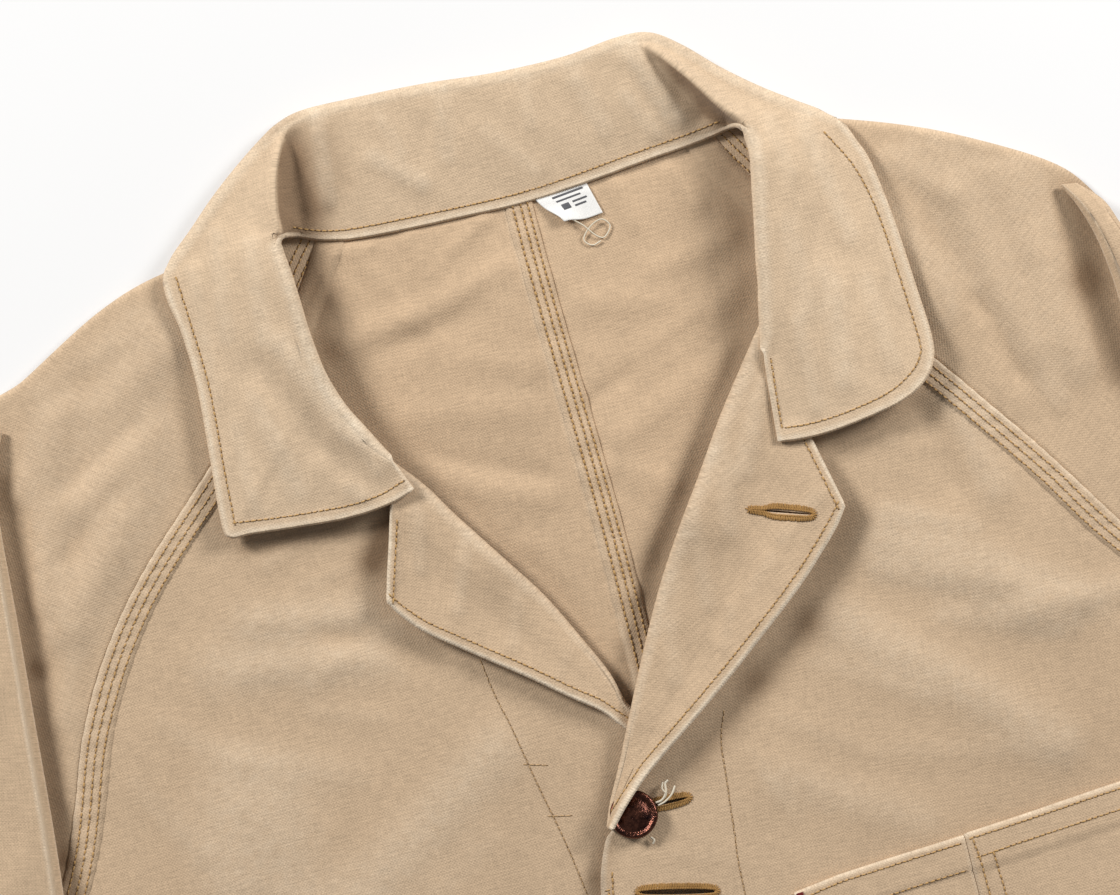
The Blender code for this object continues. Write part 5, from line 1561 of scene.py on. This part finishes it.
def label_bar(number, u0, v0, width, height):
    """A plain grey bar woven into the label."""
    u, v = np.meshgrid(np.linspace(u0, u0 + width, 12), np.linspace(v0, v0 + height, 4))
    land, _ = drop("size_label", on_label(u, v).reshape(-1, 2))
    return shell(f"label_bar_{number}", land.reshape(*u.shape, 3) + (0, 0, 0.02), 0.05, "grey_ink")


def tube(name, line, radius, look, sides=8):
    """Round thread along a smooth curve of x, y, z places, tapered to closed ends."""
    path = even(line, 16 * len(line))
    ahead = unit(np.gradient(path, axis=0))
    side = unit(np.cross(ahead, (0.03, 0.05, 1.0)))
    up = np.cross(side, ahead)
    angles = np.linspace(0, 2 * math.pi, sides, endpoint=False)
    ends = np.minimum(1.0, np.minimum(np.arange(len(path)), np.arange(len(path))[::-1]) / 2 + 0.4)
    ring = (side[:, None] * np.cos(angles)[None, :, None] + up[:, None] * np.sin(angles)[None, :, None])
    points = (path[:, None] + ring * radius * ends[:, None, None]).reshape(-1, 3)
    faces = [tuple(range(sides))[::-1], tuple(range(len(points) - sides, len(points)))]
    return build_mesh(name, points, faces + belt(0, len(path), sides), look)


def over_back(rows):
    """Rows of x, y and height over the back, as places."""
    return [(x, y, CLOTH + float(back_rise(x, y)) + lift) for x, y, lift in rows]


def over_front(rows):
    """Rows of x, y and height over the right front, as places."""
    return [(x, y, float(front_top("right", x, y)) + lift) for x, y, lift in rows]


# name: what it lies over, radius, then x, y and height over that
LOOSE_THREADS = {
    "label_thread": (over_back, 0.26, [
        (14, -8.5, 2.0), (18, -12, 1.6), (21.5, -16.5, 1.2), (24.5, -18, 0.8), (27.5, -14.5, 0.8),
        (25, -11.5, 1.5), (20.5, -13, 1.3), (17, -17, 0.8), (19.5, -19.8, 0.8), (23, -19, 0.8)]),
    "frayed_thread_a": (over_front, 0.42, [
        (-8, -221.6, 2.0), (-5.4, -221.0, 2.7), (-3.4, -218.6, 3.1), (-3.0, -215.6, 2.8), (-1.6, -214.6, 2.2)]),
    "frayed_thread_b": (over_front, 0.36, [
        (-7.6, -222.8, 1.8), (-4.6, -221.9, 2.6), (-1.6, -219.9, 2.8), (0.3, -217.2, 2.4)]),
    "frayed_thread_c": (over_front, 0.3, [
        (-6.4, -221.9, 2.0), (-3.6, -219.6, 3.2), (-4.4, -217.0, 3.4), (-3.6, -214.8, 2.8)]),
    "frayed_thread_d": (over_front, 0.4, [(-12.8, -233.2, 1.4), (-11.8, -234.6, 1.7), (-12.6, -235.8, 1.3)]),
}
size_label()
bars = [label_bar(number, *sizes) for number, sizes in enumerate(BARS, 1)]
threads = [tube(name, place(rows), radius, "pale_thread")
           for name, (place, radius, rows) in LOOSE_THREADS.items()]
TACK_ROWS = [[(33.9, -266.2), (34.4, -270.6)], [(35.0, -266.2), (35.5, -270.6)]]
sew("bar_tack", "pen_pocket", [spaced(row, 0.4) for row in TACK_ROWS],
    look="red_thread", pitch=0.45, length=1.9, width=0.55, height=0.3, crosswise=1.0)


# %% [markdown]
# ## What each piece stands for
# Every shell now takes the place of its solid, whose part is hidden. The table also lists each
# sheet's flat cut and what it lies on, though nothing below reads those values.

# %% Shells in place of the solids
# piece: its flat cut's two sides and area, in metres, and what it lies on
SHEETS = {
    "back_left": ((0.31, 0.74), 0.176, []),
    "back_right": ((0.31, 0.74), 0.171, []),
    "front_left": ((0.33, 0.70), 0.176, ["back_left"]),
    "front_right": ((0.34, 0.70), 0.183, ["front_left", "back_right"]),
    "sleeve_cap_left": ((0.22, 0.31), 0.038, ["back_left"]),
    "sleeve_cap_right": ((0.22, 0.31), 0.037, ["back_right"]),
    "sleeve_arm_left": ((0.34, 0.63), 0.137, ["sleeve_cap_left", "front_left"]),
    "sleeve_arm_right": ((0.34, 0.63), 0.129, ["sleeve_cap_right", "front_right"]),
    "lapel_left": ((0.06, 0.125), 0.0035, ["front_left"]),
    "lapel_right": ((0.07, 0.19), 0.0062, ["front_right"]),
    "collar": ((0.56, 0.085), 0.031, ["back_left", "back_right", "sleeve_cap_left", "sleeve_cap_right"]),
    "pen_pocket": ((0.065, 0.145), 0.0094, ["front_right"]),
    "chest_pocket": ((0.075, 0.148), 0.0111, ["front_right"]),
    "hip_pocket_right": ((0.176, 0.196), 0.0342, ["front_right"]),
    "hip_pocket_left": ((0.176, 0.196), 0.0342, ["front_left"]),
    "size_label": ((0.022, 0.014), 0.00029, ["back_right"]),
}

for name, (flat, area, rests_on) in SHEETS.items():
    piece = SHELLS[name]
    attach(piece, "root")
    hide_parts(name)
for number, piece in enumerate(buttons, 1):
    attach(piece, "root")
    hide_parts(f"button_{number}")
for piece in SEWN + threads + bars:
    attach(piece, "root")
print(len(SHEETS), "sheets of cloth,", len(SEWN), "sets of stitches")


# %% [markdown]
# ## Ground and light
# Cloth shows its folds in soft light from one side. A broad lamp gives the direction, a weaker
# one opposite keeps the shadows open, and pale surroundings do the rest.

# %% Studio
FLOOR_HALF = 9000.0    # half the width of the floor, in millimetres


def flat_box(name, half, look):
    """A square slab whose top is the table."""
    corners = ((-half, -half), (half, -half), (half, half), (-half, half))
    points = [(x, y + MIDDLE_Y, z) for z in (-6.0, 0.0) for x, y in corners]
    return build_mesh(name, points, [(3, 2, 1, 0), (4, 5, 6, 7)] + belt(0, 2, 4), look)


def lamp(name, place, aim, size, watts, colour):
    """A round soft lamp at a place, turned towards its aim."""
    light = bpy.data.lights.new(name, "AREA")
    light.shape, light.size, light.energy, light.color = "DISK", size, watts, colour
    thing = bpy.data.objects.new(name, light)
    thing.location = place
    thing.rotation_euler = (Vector(aim) - Vector(place)).to_track_quat("-Z", "Y").to_euler()
    bpy.context.scene.collection.objects.link(thing)
    return thing


floor = flat_box("floor", FLOOR_HALF, "ground")
CENTRE = (-0.010, 0.2476, 0.0)
lamps = [
    lamp("key", (-1.45, 1.75, 1.30), CENTRE, 0.68, 58.5, (1.0, 0.985, 0.96)),
    lamp("fill", (1.40, 0.80, 0.85), CENTRE, 0.6, 25.0, (1.0, 0.985, 0.96)),
]

world = bpy.data.worlds.new("pale surroundings")
world.use_nodes = True
surround = world.node_tree.nodes["Background"].inputs
surround["Color"].default_value = (0.98, 0.99, 1.0, 1.0)
surround["Strength"].default_value = 0.19
bpy.context.scene.world = world
bpy.context.scene.view_settings.view_transform = "Standard"

# %% [markdown]
# ## A camera straight above
# A long lens a good metre away shows a flat garment almost without perspective. Its focal length
# follows from how much cloth is to be seen across the frame, and a small turn about its own axis
# sets the jacket at a slant in the picture.

# %% Camera
ACROSS = 0.4073                # width of cloth across the picture, in metres
DISTANCE = 1.35
TURN = math.radians(14.2)
SENSOR = 36.0
lens = bpy.data.cameras.new("camera")
lens.sensor_width = SENSOR
lens.lens = SENSOR * DISTANCE / ACROSS
lens.clip_start, lens.clip_end = 0.05, 30.0
camera = bpy.data.objects.new("camera", lens)
camera.location = (CENTRE[0], CENTRE[1], DISTANCE + 0.005)
camera.rotation_euler = (0.0, 0.0, -TURN)
bpy.context.scene.collection.objects.link(camera)
bpy.context.scene.camera = camera
